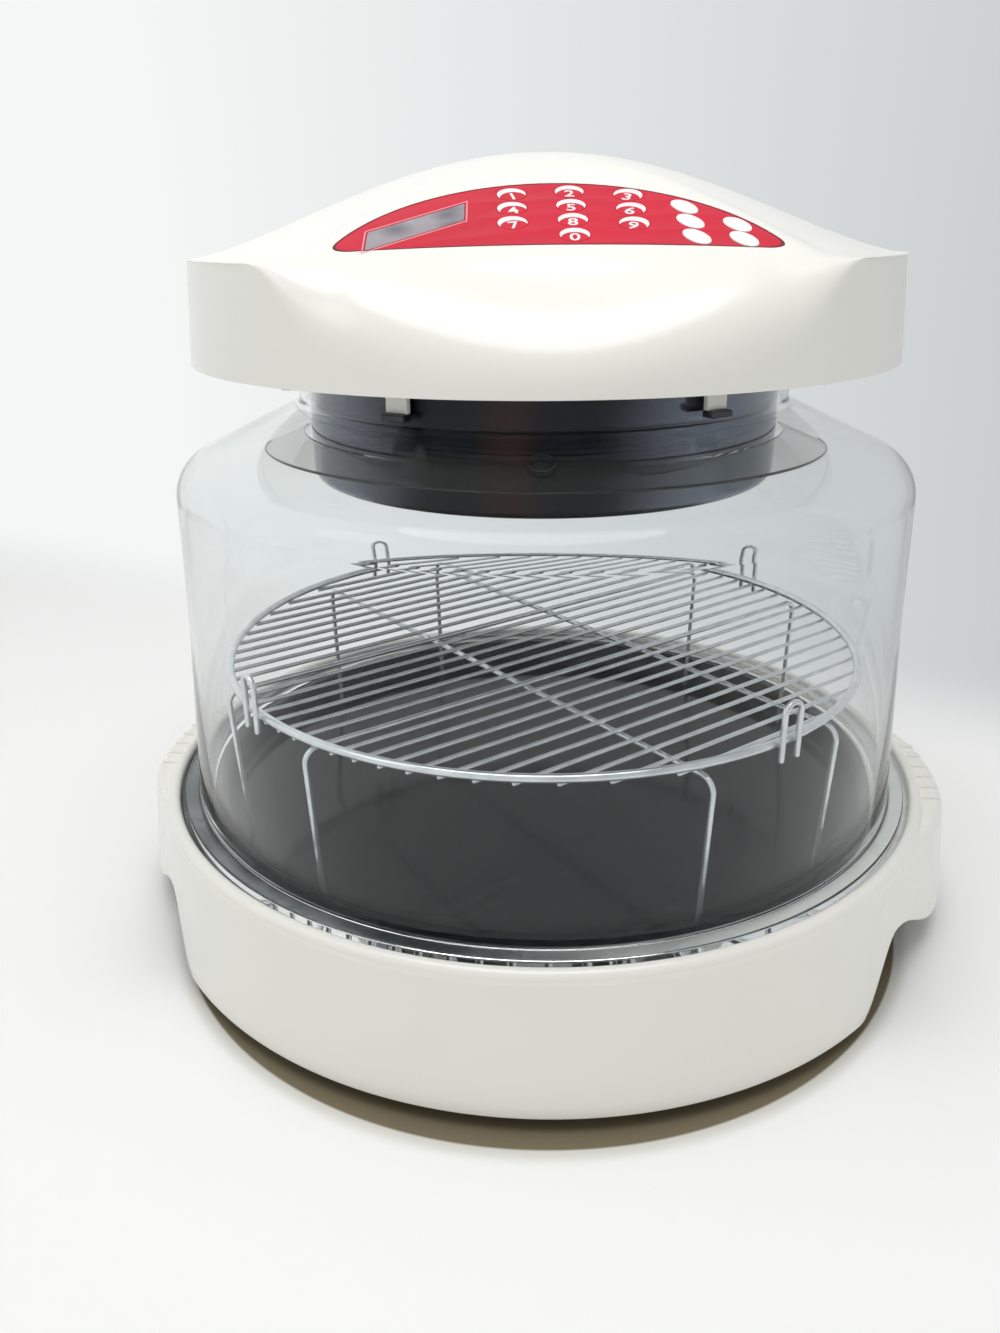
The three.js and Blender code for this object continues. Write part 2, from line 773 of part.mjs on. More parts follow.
function legWire(y, height, degrees) {
  const bend = Math.sqrt(legCircle ** 2 - y ** 2);
  const footEnd = Math.sqrt((legCircle - legLean) ** 2 - y ** 2);
  const half = rounded([
    [footEnd, panFloorHeight + seatGap], [bend, height, legBendRadius], [0, height],
  ]);
  const ahead = half.slice(0, -1).map(([x, z]) => new THREE.Vector3(x, y, z));
  const behind = ahead.map((p) => new THREE.Vector3(-p.x, p.y, p.z)).reverse();
  return wire([...ahead, ...behind], legWireRadius).rotate([0, 0, degrees]);
}

function rackLoop(degrees) {
  const x = rackRadius + seatGap + loopWireRadius;
  const half = loopWidth / 2;
  const top = rackHeight + loopRise;
  const bottom = rackHeight - loopDrop;
  const bend = half * loopBendShare;
  const path = rounded([[-half, bottom], [-half, top, bend], [half, top, bend],
    [half, bottom]]).map(([y, z]) => new THREE.Vector3(x, y, z));
  return wire(path, loopWireRadius).rotate([0, 0, degrees]);
}

// Clear dome
function domeOutside() {
  const flangeBottom = trayLedgeHeight + seatGap;
  const flangeTop = flangeBottom + domeFlangeThickness;
  return [
    [domeFlangeRadius, flangeBottom], [domeFlangeRadius, flangeTop],
    [domeSkirtRadius, flangeTop], [domeWaistRadius, domeWaistHeight],
    [domeShoulderRadius, domeShoulderHeight, domeShoulderRound],
    [domeNeckRadius, domeNeckRootHeight, domeNeckRound], [domeNeckRadius, domeNeckTop],
  ];
}

function dome() {
  const outside = domeOutside();
  const inside = offset(outside.slice(2), domeWall);
  inside[0][1] = outside[0][1];
  const shell = revolve([...rounded(outside), ...rounded(inside).reverse()]);
  const slope = (domeNeckRootHeight - domeShoulderHeight) / (domeShoulderRadius - domeNeckRadius);
  const height = domeNeckRootHeight - slope * (gateMarkCircle - domeNeckRadius);
  const tilt = new THREE.Matrix4().makeRotationX(Math.atan(slope));
  const mark = new THREE.CylinderGeometry(gateMarkRadius, gateMarkRadius, 2 * gateMarkProud,
    midSides)
    .rotateX(Math.PI / 2).applyMatrix4(tilt);
  return shell.add(placed(mark, turned(gateMarkAngle).multiply(moved(0, -gateMarkCircle, height))));
}

// Control panel frame: across (u), up the slope (v) and out of the panel (w)
const panelPlace = moved(0, panelCentreY, panelCentreHeight)
  .multiply(new THREE.Matrix4().makeRotationX(radians(panelTilt)));
const panelBottom = -panelSheet;
const membraneTop = panelBottom - seatGap;
const pocketFloor = membraneTop - membraneSheet - seatGap;

function panelOutline(grow) {
  const centre = panelArcApex - panelArcRadius;
  const radius = panelArcRadius + grow;
  const front = panelFrontEdge - grow;
  const tip = Math.asin((front - centre) / radius);
  const steps = panelArcSteps;
  const shape = [];
  for (let i = 0; i <= steps; i++) {
    const angle = tip + (Math.PI - 2 * tip) * i / steps;
    shape.push(new THREE.Vector2(panelArcShift + radius * Math.cos(angle),
      centre + radius * Math.sin(angle)));
  }
  const reach = radius * Math.cos(tip);
  for (let i = 1; i < panelFrontSteps; i++) {
    const across = -reach + 2 * reach * i / panelFrontSteps;
    shape.push(new THREE.Vector2(panelArcShift + across,
      front + panelFrontBow * (1 - (across / reach) ** 2)));
  }
  return new THREE.Shape(shape);
}

function windowShape(grow) {
  const length = windowLength + 2 * grow;
  const depth = windowDepth + 2 * grow;
  const lean = Math.tan(radians(windowTilt));
  const corners = [[-length / 2, -depth / 2], [length / 2, -depth / 2], [length / 2, depth / 2],
    [-length / 2, depth / 2]];
  return new THREE.Shape(corners.map(([across, up]) => new THREE.Vector2(
    windowCentreAcross + across * Math.cos(radians(windowTilt)),
    windowCentreUp + up + across * Math.cos(radians(windowTilt)) * lean)));
}

function arcRow(across) {
  return -((across - keyArcCentre) ** 2) / (2 * keyArcRadius);
}

// Every key: its name, its place on the panel, its size and its turn
function keyList() {
  const keys = [];
  for (let number = 0; number <= 9; number++) {
    const row = number === 0 ? 3 : Math.floor((number - 1) / 3);
    const column = number === 0 ? 0 : (number - 1) % 3 - 1;
    const across = numberColumnPitch / 3 + column * numberColumnPitch;
    keys.push({
      name: `key_number_${number}`, across, up: numberRowTop - row * keyRowPitch + arcRow(across),
      width: numberKeyWidth, depth: numberKeyDepth, turn: 0, material: redFilm,
    });
  }
  ovalPlaces.forEach(([across, up], i) => {
    keys.push({
      name: `key_oval_${i + 1}`, across, up,
      width: ovalKeyWidth, depth: ovalKeyDepth, turn: ovalTilt, material: whiteKey,
    });
  });
  return keys;
}

function keyShape(key, grow) {
  return ellipseShape(key.width + 2 * grow, key.depth + 2 * grow, key.across, key.up, key.turn,
    smallSides);
}

function panelFilm() {
  const sheet = panelOutline(0);
  const holes = keyList().map((key) => keyShape(key, slideGap));
  sheet.holes = [...holes, windowShape(seatGap)].map((hole) => new THREE.Path(hole.getPoints()));
  return plate(sheet, panelBottom, 0, panelPlace);
}

function keyCap(key) {
  return plate(keyShape(key, 0), membraneTop + keyTravel + seatGap, keyProud, panelPlace);
}

// Power head cover
function coverEdge(angle) {
  const aside = towardsSide(angle);
  const far = Math.sin(angle) < 0 ? frontEdgeHeight : backEdgeHeight;
  return wingEdgeHeight + (far - wingEdgeHeight) * smooth(aside, wingAngle, quarterTurn);
}

function coverSkinPoint(angle, share, inset) {
  const edge = coverEdge(angle);
  const frontness = smooth(-Math.sin(angle), 0, 1);
  const fullness = sideFullness + (frontFullness - sideFullness) * frontness;
  const radius = (coverRadius - inset) * share;
  const crown = edge + (coverPeak - edge) * (1 - share * share) ** fullness - inset;
  const x = radius * Math.cos(angle), y = radius * Math.sin(angle);
  const up = (y - panelCentreY) / Math.cos(radians(panelTilt));
  const aside = Math.hypot(x - panelArcShift, up - panelArcApex + panelArcRadius);
  const nearPanel = smooth(-aside, -panelArcRadius - panelFade, -panelArcRadius)
    * smooth(up, panelFrontEdge - panelFade, panelFrontEdge);
  const plane = panelCentreHeight + (y - panelCentreY) * Math.tan(radians(panelTilt)) - inset;
  return new THREE.Vector3(x, y, crown + Math.max(plane - crown, 0) * nearPanel);
}

function coverWallRing(inset, low, lift) {
  return Array.from({ length: ringSides }, (_, i) => {
    const angle = 2 * Math.PI * i / ringSides;
    const side = smooth(-towardsSide(angle), -wingAngle - wingFade, -wingAngle);
    const edge = coverEdge(angle);
    const round = Math.max(frontRound + (wingRound - frontRound) * side - inset, wingRound / 2);
    const share = 1 - round / coverRadius;
    const top = coverSkinPoint(angle, share, inset).z;
    const turn = Math.PI / 2 * lift;
    const height = low ? coverBottom - (inset ? overrun : 0) : top - round * (1 - Math.sin(turn));
    const draft = coverDraft * (height - coverBottom) / (edge - coverBottom);
    const radius = coverRadius - inset - draft - (low ? 0 : round * (1 - Math.cos(turn)));
    return new THREE.Vector3(radius * Math.cos(angle), radius * Math.sin(angle), height);
  });
}

function coverSkin(inset) {
  const walls = [coverWallRing(inset, true, 0)];
  const steps = inset ? 1 : arcSteps;
  for (let k = 0; k <= steps; k++) walls.push(coverWallRing(inset, false, k / steps));
  const shares = inset ? innerCrownShares : crownShares;
  const crown = shares.map((share) => Array.from({ length: ringSides }, (_, i) => (
    coverSkinPoint(2 * Math.PI * i / ringSides, share, inset))));
  return loft(new THREE.Vector3(0, 0, coverBottom - (inset ? overrun : 0)), [...walls, ...crown],
    new THREE.Vector3(0, 0, coverPeak - inset));
}

function screwPlaces() {
  return Array.from({ length: screwCount }, (_, i) => {
    const angle = 2 * Math.PI * (i + 0.5) / screwCount;
    return [screwCircle * Math.cos(angle), screwCircle * Math.sin(angle)];
  });
}

function boardPosts() {
  const x = boardWidth / 2 - boardPostInset;
  const y = boardDepth / 2 - boardPostInset;
  return [[x, y], [-x, y], [x, -y], [-x / 2, -y]];
}

const plateBottom = domeNeckTop + seatGap;
const plateTop = plateBottom + plateThickness;

function ventSlots() {
  const slots = [];
  for (const side of [1, -1]) {
    for (let i = 0; i < ventSlotCount; i++) {
      const angle = quarterTurn + side * (ventStartAngle + i * ventSlotPitch);
      const place = turned(angle).multiply(
        moved(coverRadius, 0, ventSlotBottom + ventSlotHeight / 2));
      slots.push(box(4 * coverWall, ventSlotWidth, ventSlotHeight, place));
    }
  }
  return slots;
}

function cover() {
  const outside = coverSkin(0);
  const tub = plate(panelOutline(pocketWall), pocketFloor - pocketWall, coverPeak, panelPlace);
  const pocket = plate(panelOutline(seatGap), pocketFloor, coverPeak, panelPlace);
  const displayHole = plate(windowShape(-displayMargin), pocketFloor - 2 * pocketWall, coverPeak,
    panelPlace);
  const bosses = screwPlaces().map(([x, y]) => cylinder(bossRadius, plateTop + seatGap, coverPeak,
    screwSides)
    .translate([x, y, 0]));
  const bores = screwPlaces().map(([x, y]) => cylinder(screwRadius + seatGap, plateTop - overrun,
    plateTop + screwLength, screwSides).translate([x, y, 0]));
  const posts = boardPosts().map(([x, y]) => placed(
    new THREE.CylinderGeometry(boardPostRadius, boardPostRadius, boardDrop, screwSides)
      .rotateX(Math.PI / 2),
    panelPlace.clone().multiply(moved(x, y, pocketFloor - pocketWall / 2 - boardDrop / 2))));
  const cordHole = placed(
    new THREE.CylinderGeometry(bushingRadius + seatGap, bushingRadius + seatGap, bushingLength * 2,
      midSides),
    moved(0, coverRadius, bushingHeight));
  const hollow = without(coverSkin(coverWall), [tub, ...bosses, ...posts]);
  return without(outside, [hollow, pocket, displayHole, cordHole, ...bores, ...ventSlots()]);
}

// Bottom plate with its four moulded hooks, which reach down outside the dome's neck
function hookTab(degrees) {
  const middle = hookInnerRadius + hookThickness / 2;
  const tab = box(hookThickness, hookWidth, hookLength + plateThickness / 2,
    turned(degrees).multiply(moved(middle, 0, plateBottom - hookLength / 2 + plateThickness / 4)));
  const lipCentre = hookInnerRadius + (hookThickness + hookLipReach) / 2;
  const lip = box(hookThickness + hookLipReach, hookWidth + 2 * hookLipOverhang, hookLipHeight,
    turned(degrees).multiply(moved(lipCentre, 0, plateBottom - hookLength - hookLipHeight / 4)));
  return tab.add(lip);
}

function bottomPlate() {
  const bore = skirtRadius + slideGap;
  const outer = coverRadius - coverWall - plateClearance;
  const disc = revolve([[bore, plateBottom], [outer, plateBottom], [outer, plateTop],
    [bore, plateTop]]);
  const hooks = [-quarterTurn - hookAngle, -quarterTurn + hookAngle, quarterTurn - hookAngle,
    quarterTurn + hookAngle].map(hookTab);
  const bores = screwPlaces().map(([x, y]) => cylinder(screwRadius + seatGap, plateBottom - overrun,
    plateTop + overrun, screwSides).translate([x, y, 0]));
  return without(joined([disc, ...hooks]), bores);
}

function screw(x, y) {
  const under = plateBottom - seatGap;
  return revolve([
    [0, under - screwHeadHeight], [screwHeadRadius * screwCrownShare, under - screwHeadHeight],
    [screwHeadRadius, under], [screwRadius, under], [screwRadius, under + screwLength],
    [0, under + screwLength],
  ], screwSides).translate([x, y, 0]);
}

// Steel skirt: a drawn cup ring that hangs by its top flange on the plate
const skirtTop = plateTop + seatGap + skirtSheet;

function skirt() {
  const outside = [
    [skirtRadius + skirtFlange, skirtTop - skirtSheet],
    [skirtRadius, skirtTop - skirtSheet],
    [skirtRadius, skirtBottom, skirtRound],
    [skirtRadius - skirtLip, skirtBottom],
  ];
  const inside = offset(outside, -skirtSheet);
  return revolve([...rounded(outside), ...rounded(inside).reverse()]);
}

function guardRing(bottom) {
  const outer = skirtRadius - skirtRound;
  const shape = new THREE.Shape(circleShape(outer, roundSides).getPoints());
  const span = outer - guardHubRadius - guardWeb;
  const band = span / guardBandCount;
  for (let ring = 0; ring < guardBandCount; ring++) {
    const low = guardHubRadius + ring * band;
    const high = low + band - guardWeb;
    for (let i = 0; i < guardSlotCount; i++) {
      const start = 2 * Math.PI * i / guardSlotCount;
      const end = start + 2 * Math.PI / guardSlotCount;
      const slot = new THREE.Path();
      const points = [];
      for (const [radius, from, to] of [[high, start, end], [low, end, start]]) {
        const half = guardWeb / 2 / radius * Math.sign(to - from);
        for (let k = 0; k <= arcSteps; k++) {
          const angle = from + half + (to - from - 2 * half) * k / arcSteps;
          points.push(new THREE.Vector2(radius * Math.cos(angle), radius * Math.sin(angle)));
        }
      }
      slot.setFromPoints(points);
      shape.holes.push(slot);
    }
  }
  return plate(shape, bottom, bottom + guardSheet);
}

// Reflector, ring lamp and its ceramic ends
function reflector() {
  const rim = skirtRadius - skirtSheet - seatGap;
  const top = [
    [reflectorBore, reflectorHeight], [rim * reflectorFlatShare, reflectorHeight],
    [rim, reflectorHeight - reflectorDish],
  ];
  const capHoles = lampEnds().map(({ place }) => cylinder(lampCapRadius * lampStemShare + slideGap,
    lampHeight, reflectorHeight + overrun, smallSides).translate([place.x, place.y, 0]));
  const dish = revolve([...top, ...top.map(([r, z]) => [r, z - reflectorSheet]).reverse()]);
  return without(dish, capHoles);
}

function lampPoint(degrees) {
  const angle = radians(degrees);
  return new THREE.Vector3(lampRadius * Math.cos(angle), lampRadius * Math.sin(angle), lampHeight);
}

function lampEnds() {
  return [quarterTurn - lampGapAngle / 2, quarterTurn + lampGapAngle / 2].map((degrees) => ({
    degrees, place: lampPoint(degrees),
  }));
}

function ringLamp() {
  const start = quarterTurn + lampGapAngle / 2;
  const sweep = fullTurn - lampGapAngle;
  const steps = 24;
  const trim = THREE.MathUtils.radToDeg((lampCapRadius + seatGap) / lampRadius);
  const points = Array.from({ length: steps + 1 }, (_, i) => (
    lampPoint(start + trim + (sweep - 2 * trim) * i / steps)));
  return wire(points, lampTubeRadius);
}

function lampCap({ place }) {
  const bottom = lampHeight - lampCapRadius;
  const shoulder = reflectorHeight - reflectorSheet - seatGap;
  return revolve([
    [0, bottom], [lampCapRadius, bottom], [lampCapRadius, bottom + lampCapLength],
    [lampCapRadius * lampStemShare, shoulder], [lampCapRadius * lampStemShare, shoulder + lampCapLength / 2],
    [0, shoulder + lampCapLength / 2],
  ], smallSides).translate([place.x, place.y, 0]);
}

function lampClip(degrees) {
  const inner = lampTubeRadius + 2 * seatGap;
  const outer = inner + clipSheet;
  const top = reflectorHeight - reflectorSheet - seatGap;
  const band = new THREE.Shape(circleShape(outer, midSides).getPoints());
  band.holes.push(new THREE.Path(circleShape(inner, midSides).getPoints()));
  const upright = new THREE.Matrix4().makeRotationX(Math.PI / 2);
  const place = turned(degrees).multiply(moved(lampRadius, 0, lampHeight)).multiply(upright);
  const ring = plate(band, -clipWidth / 2, clipWidth / 2, place);
  const stemBottom = lampHeight + (inner + outer) / 2;
  const stem = box(clipSheet, clipWidth, top - stemBottom,
    turned(degrees).multiply(moved(lampRadius, 0, (top + stemBottom) / 2)));
  return ring.add(stem);
}

// Fans, shaft and motor
const deckBottom = skirtTop + seatGap;
const deckTop = deckBottom + deckSheet;
const coolerBottom = deckTop + coolerLift;
const bracketBottom = deckTop + bracketHeight;
const bracketTop = bracketBottom + bracketSheet;
const shaftTop = bracketTop + seatGap + motorHeight + shaftStub;

function fanRotor(radius, bottom, height, hubRadius) {
  const hub = revolve([
    [shaftRadius + seatGap, bottom], [hubRadius, bottom], [hubRadius, bottom + height],
    [shaftRadius + seatGap, bottom + height],
  ], smallSides);
  const length = radius - hubRadius * bladeRootShare;
  const pitch = new THREE.Matrix4().makeRotationX(radians(bladePitch));
  const blades = Array.from({ length: bladeCount }, (_, i) => box(
    length, bladeThickness, height * bladeHeightShare,
    turned(fullTurn * i / bladeCount).multiply(
      moved(hubRadius * bladeRootShare + length / 2, 0, bottom + height / 2)).multiply(pitch)));
  return joined([hub, ...blades]);
}

function deck() {
  const vents = Array.from({ length: bladeCount }, (_, i) => box(
    deckRadius * 0.3, guardWeb, 2 * overrun + deckSheet,
    turned(fullTurn * (i + 0.5) / bladeCount).multiply(moved(deckRadius * deckHoleShare, 0, deckBottom))));
  const lampHoles = lampEnds().map(({ place }) => cylinder(lampCapRadius, deckBottom - overrun,
    deckTop + overrun, 10).translate([place.x, place.y, 0]));
  const disc = revolve([[deckBore, deckBottom], [deckRadius, deckBottom], [deckRadius, deckTop],
    [deckBore, deckTop]], 30);
  return without(disc, [...vents, ...lampHoles]);
}

function motorBracket() {
  const bottom = deckTop + seatGap;
  const disc = cylinder(bracketRadius, bracketBottom, bracketTop);
  const arms = [0, 1, 2].map((i) => {
    const place = turned(fullTurn * i / 3);
    const reach = bracketLegCircle - bracketRadius * bracketLegShare;
    const arm = box(reach, bracketLegWidth, bracketSheet,
      place.clone().multiply(moved(bracketLegCircle - reach / 2, 0, bracketBottom + bracketSheet / 2)));
    const leg = box(bracketSheet, bracketLegWidth, bracketTop - bottom,
      place.clone().multiply(moved(bracketLegCircle - bracketSheet / 2, 0, (bracketTop + bottom) / 2)));
    return arm.add(leg);
  });
  const bore = cylinder(motorNoseRadius + seatGap, bracketBottom - overrun, bracketTop + overrun);
  return joined([disc, ...arms]).subtract(bore);
}

function motor() {
  const bottom = bracketTop + seatGap;
  const top = bottom + motorHeight;
  const bore = shaftRadius + seatGap;
  return revolve([
    [bore, bottom - motorNoseHeight], [motorNoseRadius, bottom - motorNoseHeight],
    [motorNoseRadius, bottom], [motorRadius, bottom], [motorRadius, top - motorNoseHeight],
    [motorRadius - motorNoseHeight, top], [bore, top],
  ], midSides);
}

// Electronics
const boardTop = pocketFloor - pocketWall / 2 - boardDrop - seatGap;

function board() {
  const matrix = panelPlace.clone().multiply(moved(0, 0, boardTop - boardSheet / 2));
  const sheet = box(boardWidth, boardDepth, boardSheet, matrix);
  const relay = box(relayWidth, relayDepth, relayHeight,
    panelPlace.clone().multiply(moved(boardWidth / 5, 0, boardTop - boardSheet - relayHeight / 2 + boardSheet / 4)));
  return sheet.add(relay);
}

function displayModule() {
  const bottom = boardTop + seatGap;
  return plate(windowShape(-2 * displayMargin), bottom, bottom + displayHeight, panelPlace);
}

function heatSensor() {
  return cylinder(sensorRadius, reflectorHeight + seatGap, reflectorHeight + seatGap + sensorHeight)
    .translate([sensorCircle, 0, 0]);
}

function cordBushing() {
  const draft = coverDraft * (bushingLift + bushingRadius + bushingFlange)
    / (backEdgeHeight - coverBottom);
  const inside = coverRadius - coverWall - draft - bushingSetback - bushingFlangeSheet;
  const tube = revolve([
    [bushingBore, 0], [bushingRadius + bushingFlange, 0],
    [bushingRadius + bushingFlange, bushingFlangeSheet], [bushingRadius, bushingFlangeSheet],
    [bushingRadius, bushingLength * bushingNeckShare], [bushingRadius * bushingTipShare, bushingLength],
    [bushingBore, bushingLength],
  ], midSides);
  return tube.rotate([-quarterTurn, 0, 0]).translate([0, inside, bushingHeight]);
}

// Assembly
const oven = new THREE.Group();
const head = new THREE.Group();
head.rotation.z = radians(headTurn);
oven.add(head);

function addBase() {
  oven.add(piece("base_tray", creamPlastic, baseTray()));
  footPlaces().forEach(([x, y], i) => {
    oven.add(piece(`base_foot_${i + 1}`, blackRubber, foot(x, y)));
  });
  oven.add(piece("liner_pan", blackEnamel, linerPan()));
}

function addRack() {
  oven.add(piece("rack_grate", chromeWire, rackGrate()));
  const place = barOffset(legBarIndex);
  const wires = [[place, upperLegHeight, rackTurn], [-place, upperLegHeight, rackTurn],
    [place, lowerLegHeight, rackTurn + quarterTurn], [-place, lowerLegHeight, rackTurn + quarterTurn]];
  wires.forEach(([y, height, degrees], i) => {
    oven.add(piece(`rack_leg_wire_${i + 1}`, chromeWire, legWire(y, height, degrees)));
  });
  for (let i = 0; i < 4; i++) {
    oven.add(piece(`rack_loop_${i + 1}`, chromeWire, rackLoop(rackTurn + quarterTurn * i)));
  }
}

function addHeadCase() {
  head.add(piece("head_cover", creamPlastic, cover()));
  head.add(piece("head_bottom_plate", creamPlastic, bottomPlate()));
  screwPlaces().forEach(([x, y], i) => {
    head.add(piece(`head_screw_${i + 1}`, brightSheet, screw(x, y)));
  });
  head.add(piece("panel_film", redFilm, panelFilm()));
  head.add(piece("panel_membrane", boardGreen, plate(
    panelOutline(-pocketWall / 2), membraneTop - membraneSheet, membraneTop, panelPlace)));
  head.add(piece("display_window", smokedWindow, plate(
    windowShape(0), membraneTop + seatGap, keyProud / 3, panelPlace)));
  for (const key of keyList()) head.add(piece(key.name, key.material, keyCap(key)));
}

function addHeater() {
  head.add(piece("heater_skirt", darkSteel, skirt()));
  head.add(piece("lamp_guard", brightSheet, guardRing(skirtBottom + skirtSheet + seatGap)));
  head.add(piece("reflector", brightSheet, reflector()));
  head.add(piece("ring_lamp", quartzGlass, ringLamp()));
  lampEnds().forEach((end, i) => head.add(piece(`lamp_end_${i + 1}`, ceramic, lampCap(end))));
  [-30, 210].forEach((degrees, i) => {
    head.add(piece(`lamp_clip_${i + 1}`, brightSheet, lampClip(degrees)));
  });
  head.add(piece("heat_sensor", darkSteel, heatSensor()));
}

function addDrive() {
  head.add(piece("motor_deck", brightSheet, deck()));
  head.add(piece("motor_bracket", brightSheet, motorBracket()));
  head.add(piece("fan_motor", motorSteel, motor()));
  head.add(piece("fan_shaft", motorSteel, cylinder(shaftRadius, shaftBottom, shaftTop, smallSides)));
  head.add(piece("oven_fan", brightSheet, fanRotor(fanRadius, fanBottom, fanHeight, fanHubRadius)));
  head.add(piece("cooling_fan", blackRubber,
    fanRotor(coolerRadius, coolerBottom, coolerHeight, fanHubRadius)));
}

function addElectronics() {
  head.add(piece("control_board", boardGreen, board()));
  head.add(piece("display_module", smokedWindow, displayModule()));
  head.add(piece("cord_bushing", blackRubber, cordBushing()));
}

addBase();
addRack();
oven.add(piece("dome", clearPlastic, dome()));
addHeadCase();
addHeater();
addDrive();
addElectronics();

export default oven;
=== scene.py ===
import math

import bmesh
import bpy
from mathutils import Matrix, Vector


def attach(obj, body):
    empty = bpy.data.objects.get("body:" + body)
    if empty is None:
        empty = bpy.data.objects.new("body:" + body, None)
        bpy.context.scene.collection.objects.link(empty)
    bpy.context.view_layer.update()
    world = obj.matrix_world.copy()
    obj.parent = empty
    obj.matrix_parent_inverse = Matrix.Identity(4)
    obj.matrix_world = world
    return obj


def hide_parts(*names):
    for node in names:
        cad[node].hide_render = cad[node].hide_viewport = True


# Everything is measured in millimetres and degrees and made in metres. +X is the oven's right
# handle, +Y its back and +Z up, with the origin on the table under its middle.
MM = 0.001

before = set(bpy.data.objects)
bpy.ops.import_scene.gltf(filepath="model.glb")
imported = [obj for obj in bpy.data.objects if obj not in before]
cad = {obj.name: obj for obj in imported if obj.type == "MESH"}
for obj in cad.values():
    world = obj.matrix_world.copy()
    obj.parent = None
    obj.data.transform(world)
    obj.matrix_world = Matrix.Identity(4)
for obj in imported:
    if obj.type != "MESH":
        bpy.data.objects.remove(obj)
scene = bpy.context.scene


# Camera
# Solved from the round rims in the photograph: held close and a little above the head, so the
# near side looks large.
CAMERA_PLACE = (39.1, -486.1, 306.2)
CAMERA_PITCH = 67.95
CAMERA_PAN = 6.92
CAMERA_ROLL = -0.56
CAMERA_SENSOR = 36
CAMERA_LENS = 29.17


def turned(degrees, axis="Z"):
    return Matrix.Rotation(math.radians(degrees), 4, axis)


def at(x, y, z):
    return Matrix.Translation(MM * Vector((x, y, z)))


camera = bpy.data.objects.new("camera", bpy.data.cameras.new("camera"))
camera.data.sensor_width = CAMERA_SENSOR
camera.data.lens = CAMERA_LENS
camera.matrix_world = (at(*CAMERA_PLACE) @ turned(CAMERA_PAN) @ turned(CAMERA_PITCH, "X")
                       @ turned(CAMERA_ROLL))
scene.collection.objects.link(camera)
scene.camera = camera
scene.view_settings.view_transform = "Standard"


# Studio
# A white table top that fades into a pale grey wall, under a broad soft lamp, a weak one at the
# left and the bright room. A dark disc painted under the tray stands for its deep shadow.
FLOOR_RADIUS = 3000
FLOOR_SIDES = 96
WALL_LEFT = (244, 247, 246)
WALL_RIGHT = (196, 199, 201)
WALL_ACROSS = (-0.4, 0.42)
ROOM_LIGHT = 0.47
ROOM_RISE = (-0.1, 0.9)
ROOM_LOW = (0.8, 0.8, 0.79, 1)
ROOM_HIGH = (1.15, 1.15, 1.15, 1)
FLOOR_WHITE = (0.985, 0.99, 0.98, 1)
FLOOR_PAINTED_PENUMBRA = (0.74, 0.73, 0.68, 1)
FLOOR_SLANT = 0.36
FLOOR_TURNS_GREY = (0.21, 0.41)
# The painted shadow under the tray: its middle, edge, blur and soft fade, and its brown.
SHADE_MIDDLE = (0.001, -0.024, 0)
SHADE_EDGE = 0.1703
SHADE_BLUR = 0.001
SHADE_FADE = 0.178
SHADE_BROWN = (0.2, 0.17, 0.105, 1)
OVERHEAD = dict(place=(-30, -160, 1500), aim=(0, 0, 150), width=1200, power=11.2)
WINDOW_SIDE = dict(place=(-700, -420, 900), aim=(-60, 0, 300), width=400, power=0.55)


def linear(colour):
    """0 to 255 screen values as the shader's linear ones."""
    shares = [value / 255 for value in colour]
    return tuple(v / 12.92 if v <= 0.04045 else ((v + 0.055) / 1.055) ** 2.4
                 for v in shares) + (1.0,)


def set_inputs(node, inputs):
    """Each input is given as a value or as another node's output."""
    for key, value in inputs.items():
        if isinstance(value, bpy.types.NodeSocket):
            node.id_data.links.new(value, node.inputs[key])
        else:
            node.inputs[key].default_value = value


def add_node(tree, kind, inputs=None, **settings):
    made = tree.nodes.new("ShaderNode" + kind)
    for key, value in settings.items():
        setattr(made, key, value)
    set_inputs(made, inputs or {})
    return made


def worked_out(tree, operation, *values, kind="Math"):
    return add_node(tree, kind, dict(enumerate(values)), operation=operation).outputs


def object_place(tree):
    return add_node(tree, "TexCoord").outputs["Object"]


def split(tree, vector):
    return add_node(tree, "SeparateXYZ", {"Vector": vector}).outputs


def new_material(name):
    """A material with its node tree and its shader."""
    made = bpy.data.materials.new(name)
    made.use_nodes = True
    return made, made.node_tree, made.node_tree.nodes["Principled BSDF"]


def show_mixed(tree, share, first, second):
    """Shows the first shader where the share is 0 and the second where it is 1."""
    both = add_node(tree, "MixShader", {
        "Fac": share, 1: first.outputs[0], 2: second.outputs[0]})
    set_inputs(tree.nodes["Material Output"], {"Surface": both.outputs[0]})


def mapped(tree, value, low, high, to_low=0.0, to_high=1.0, kind="LINEAR"):
    """Value output moved from one range into another and held inside it."""
    return add_node(tree, "MapRange", {
        "Value": value, "From Min": low, "From Max": high, "To Min": to_low, "To Max": to_high,
    }, interpolation_type=kind).outputs["Result"]


def faded(tree, value, band, first, second, kind="LINEAR"):
    """Colour output that goes from the first to the second as the value crosses the band."""
    share = mapped(tree, value, *band, kind=kind)
    return add_node(tree, "Mix", {0: share, 6: first, 7: second}, data_type="RGBA").outputs[2]


def wall_grey(tree, way):
    """The wall's colour in a direction."""
    return faded(tree, split(tree, way)["X"], WALL_ACROSS, linear(WALL_LEFT), linear(WALL_RIGHT))


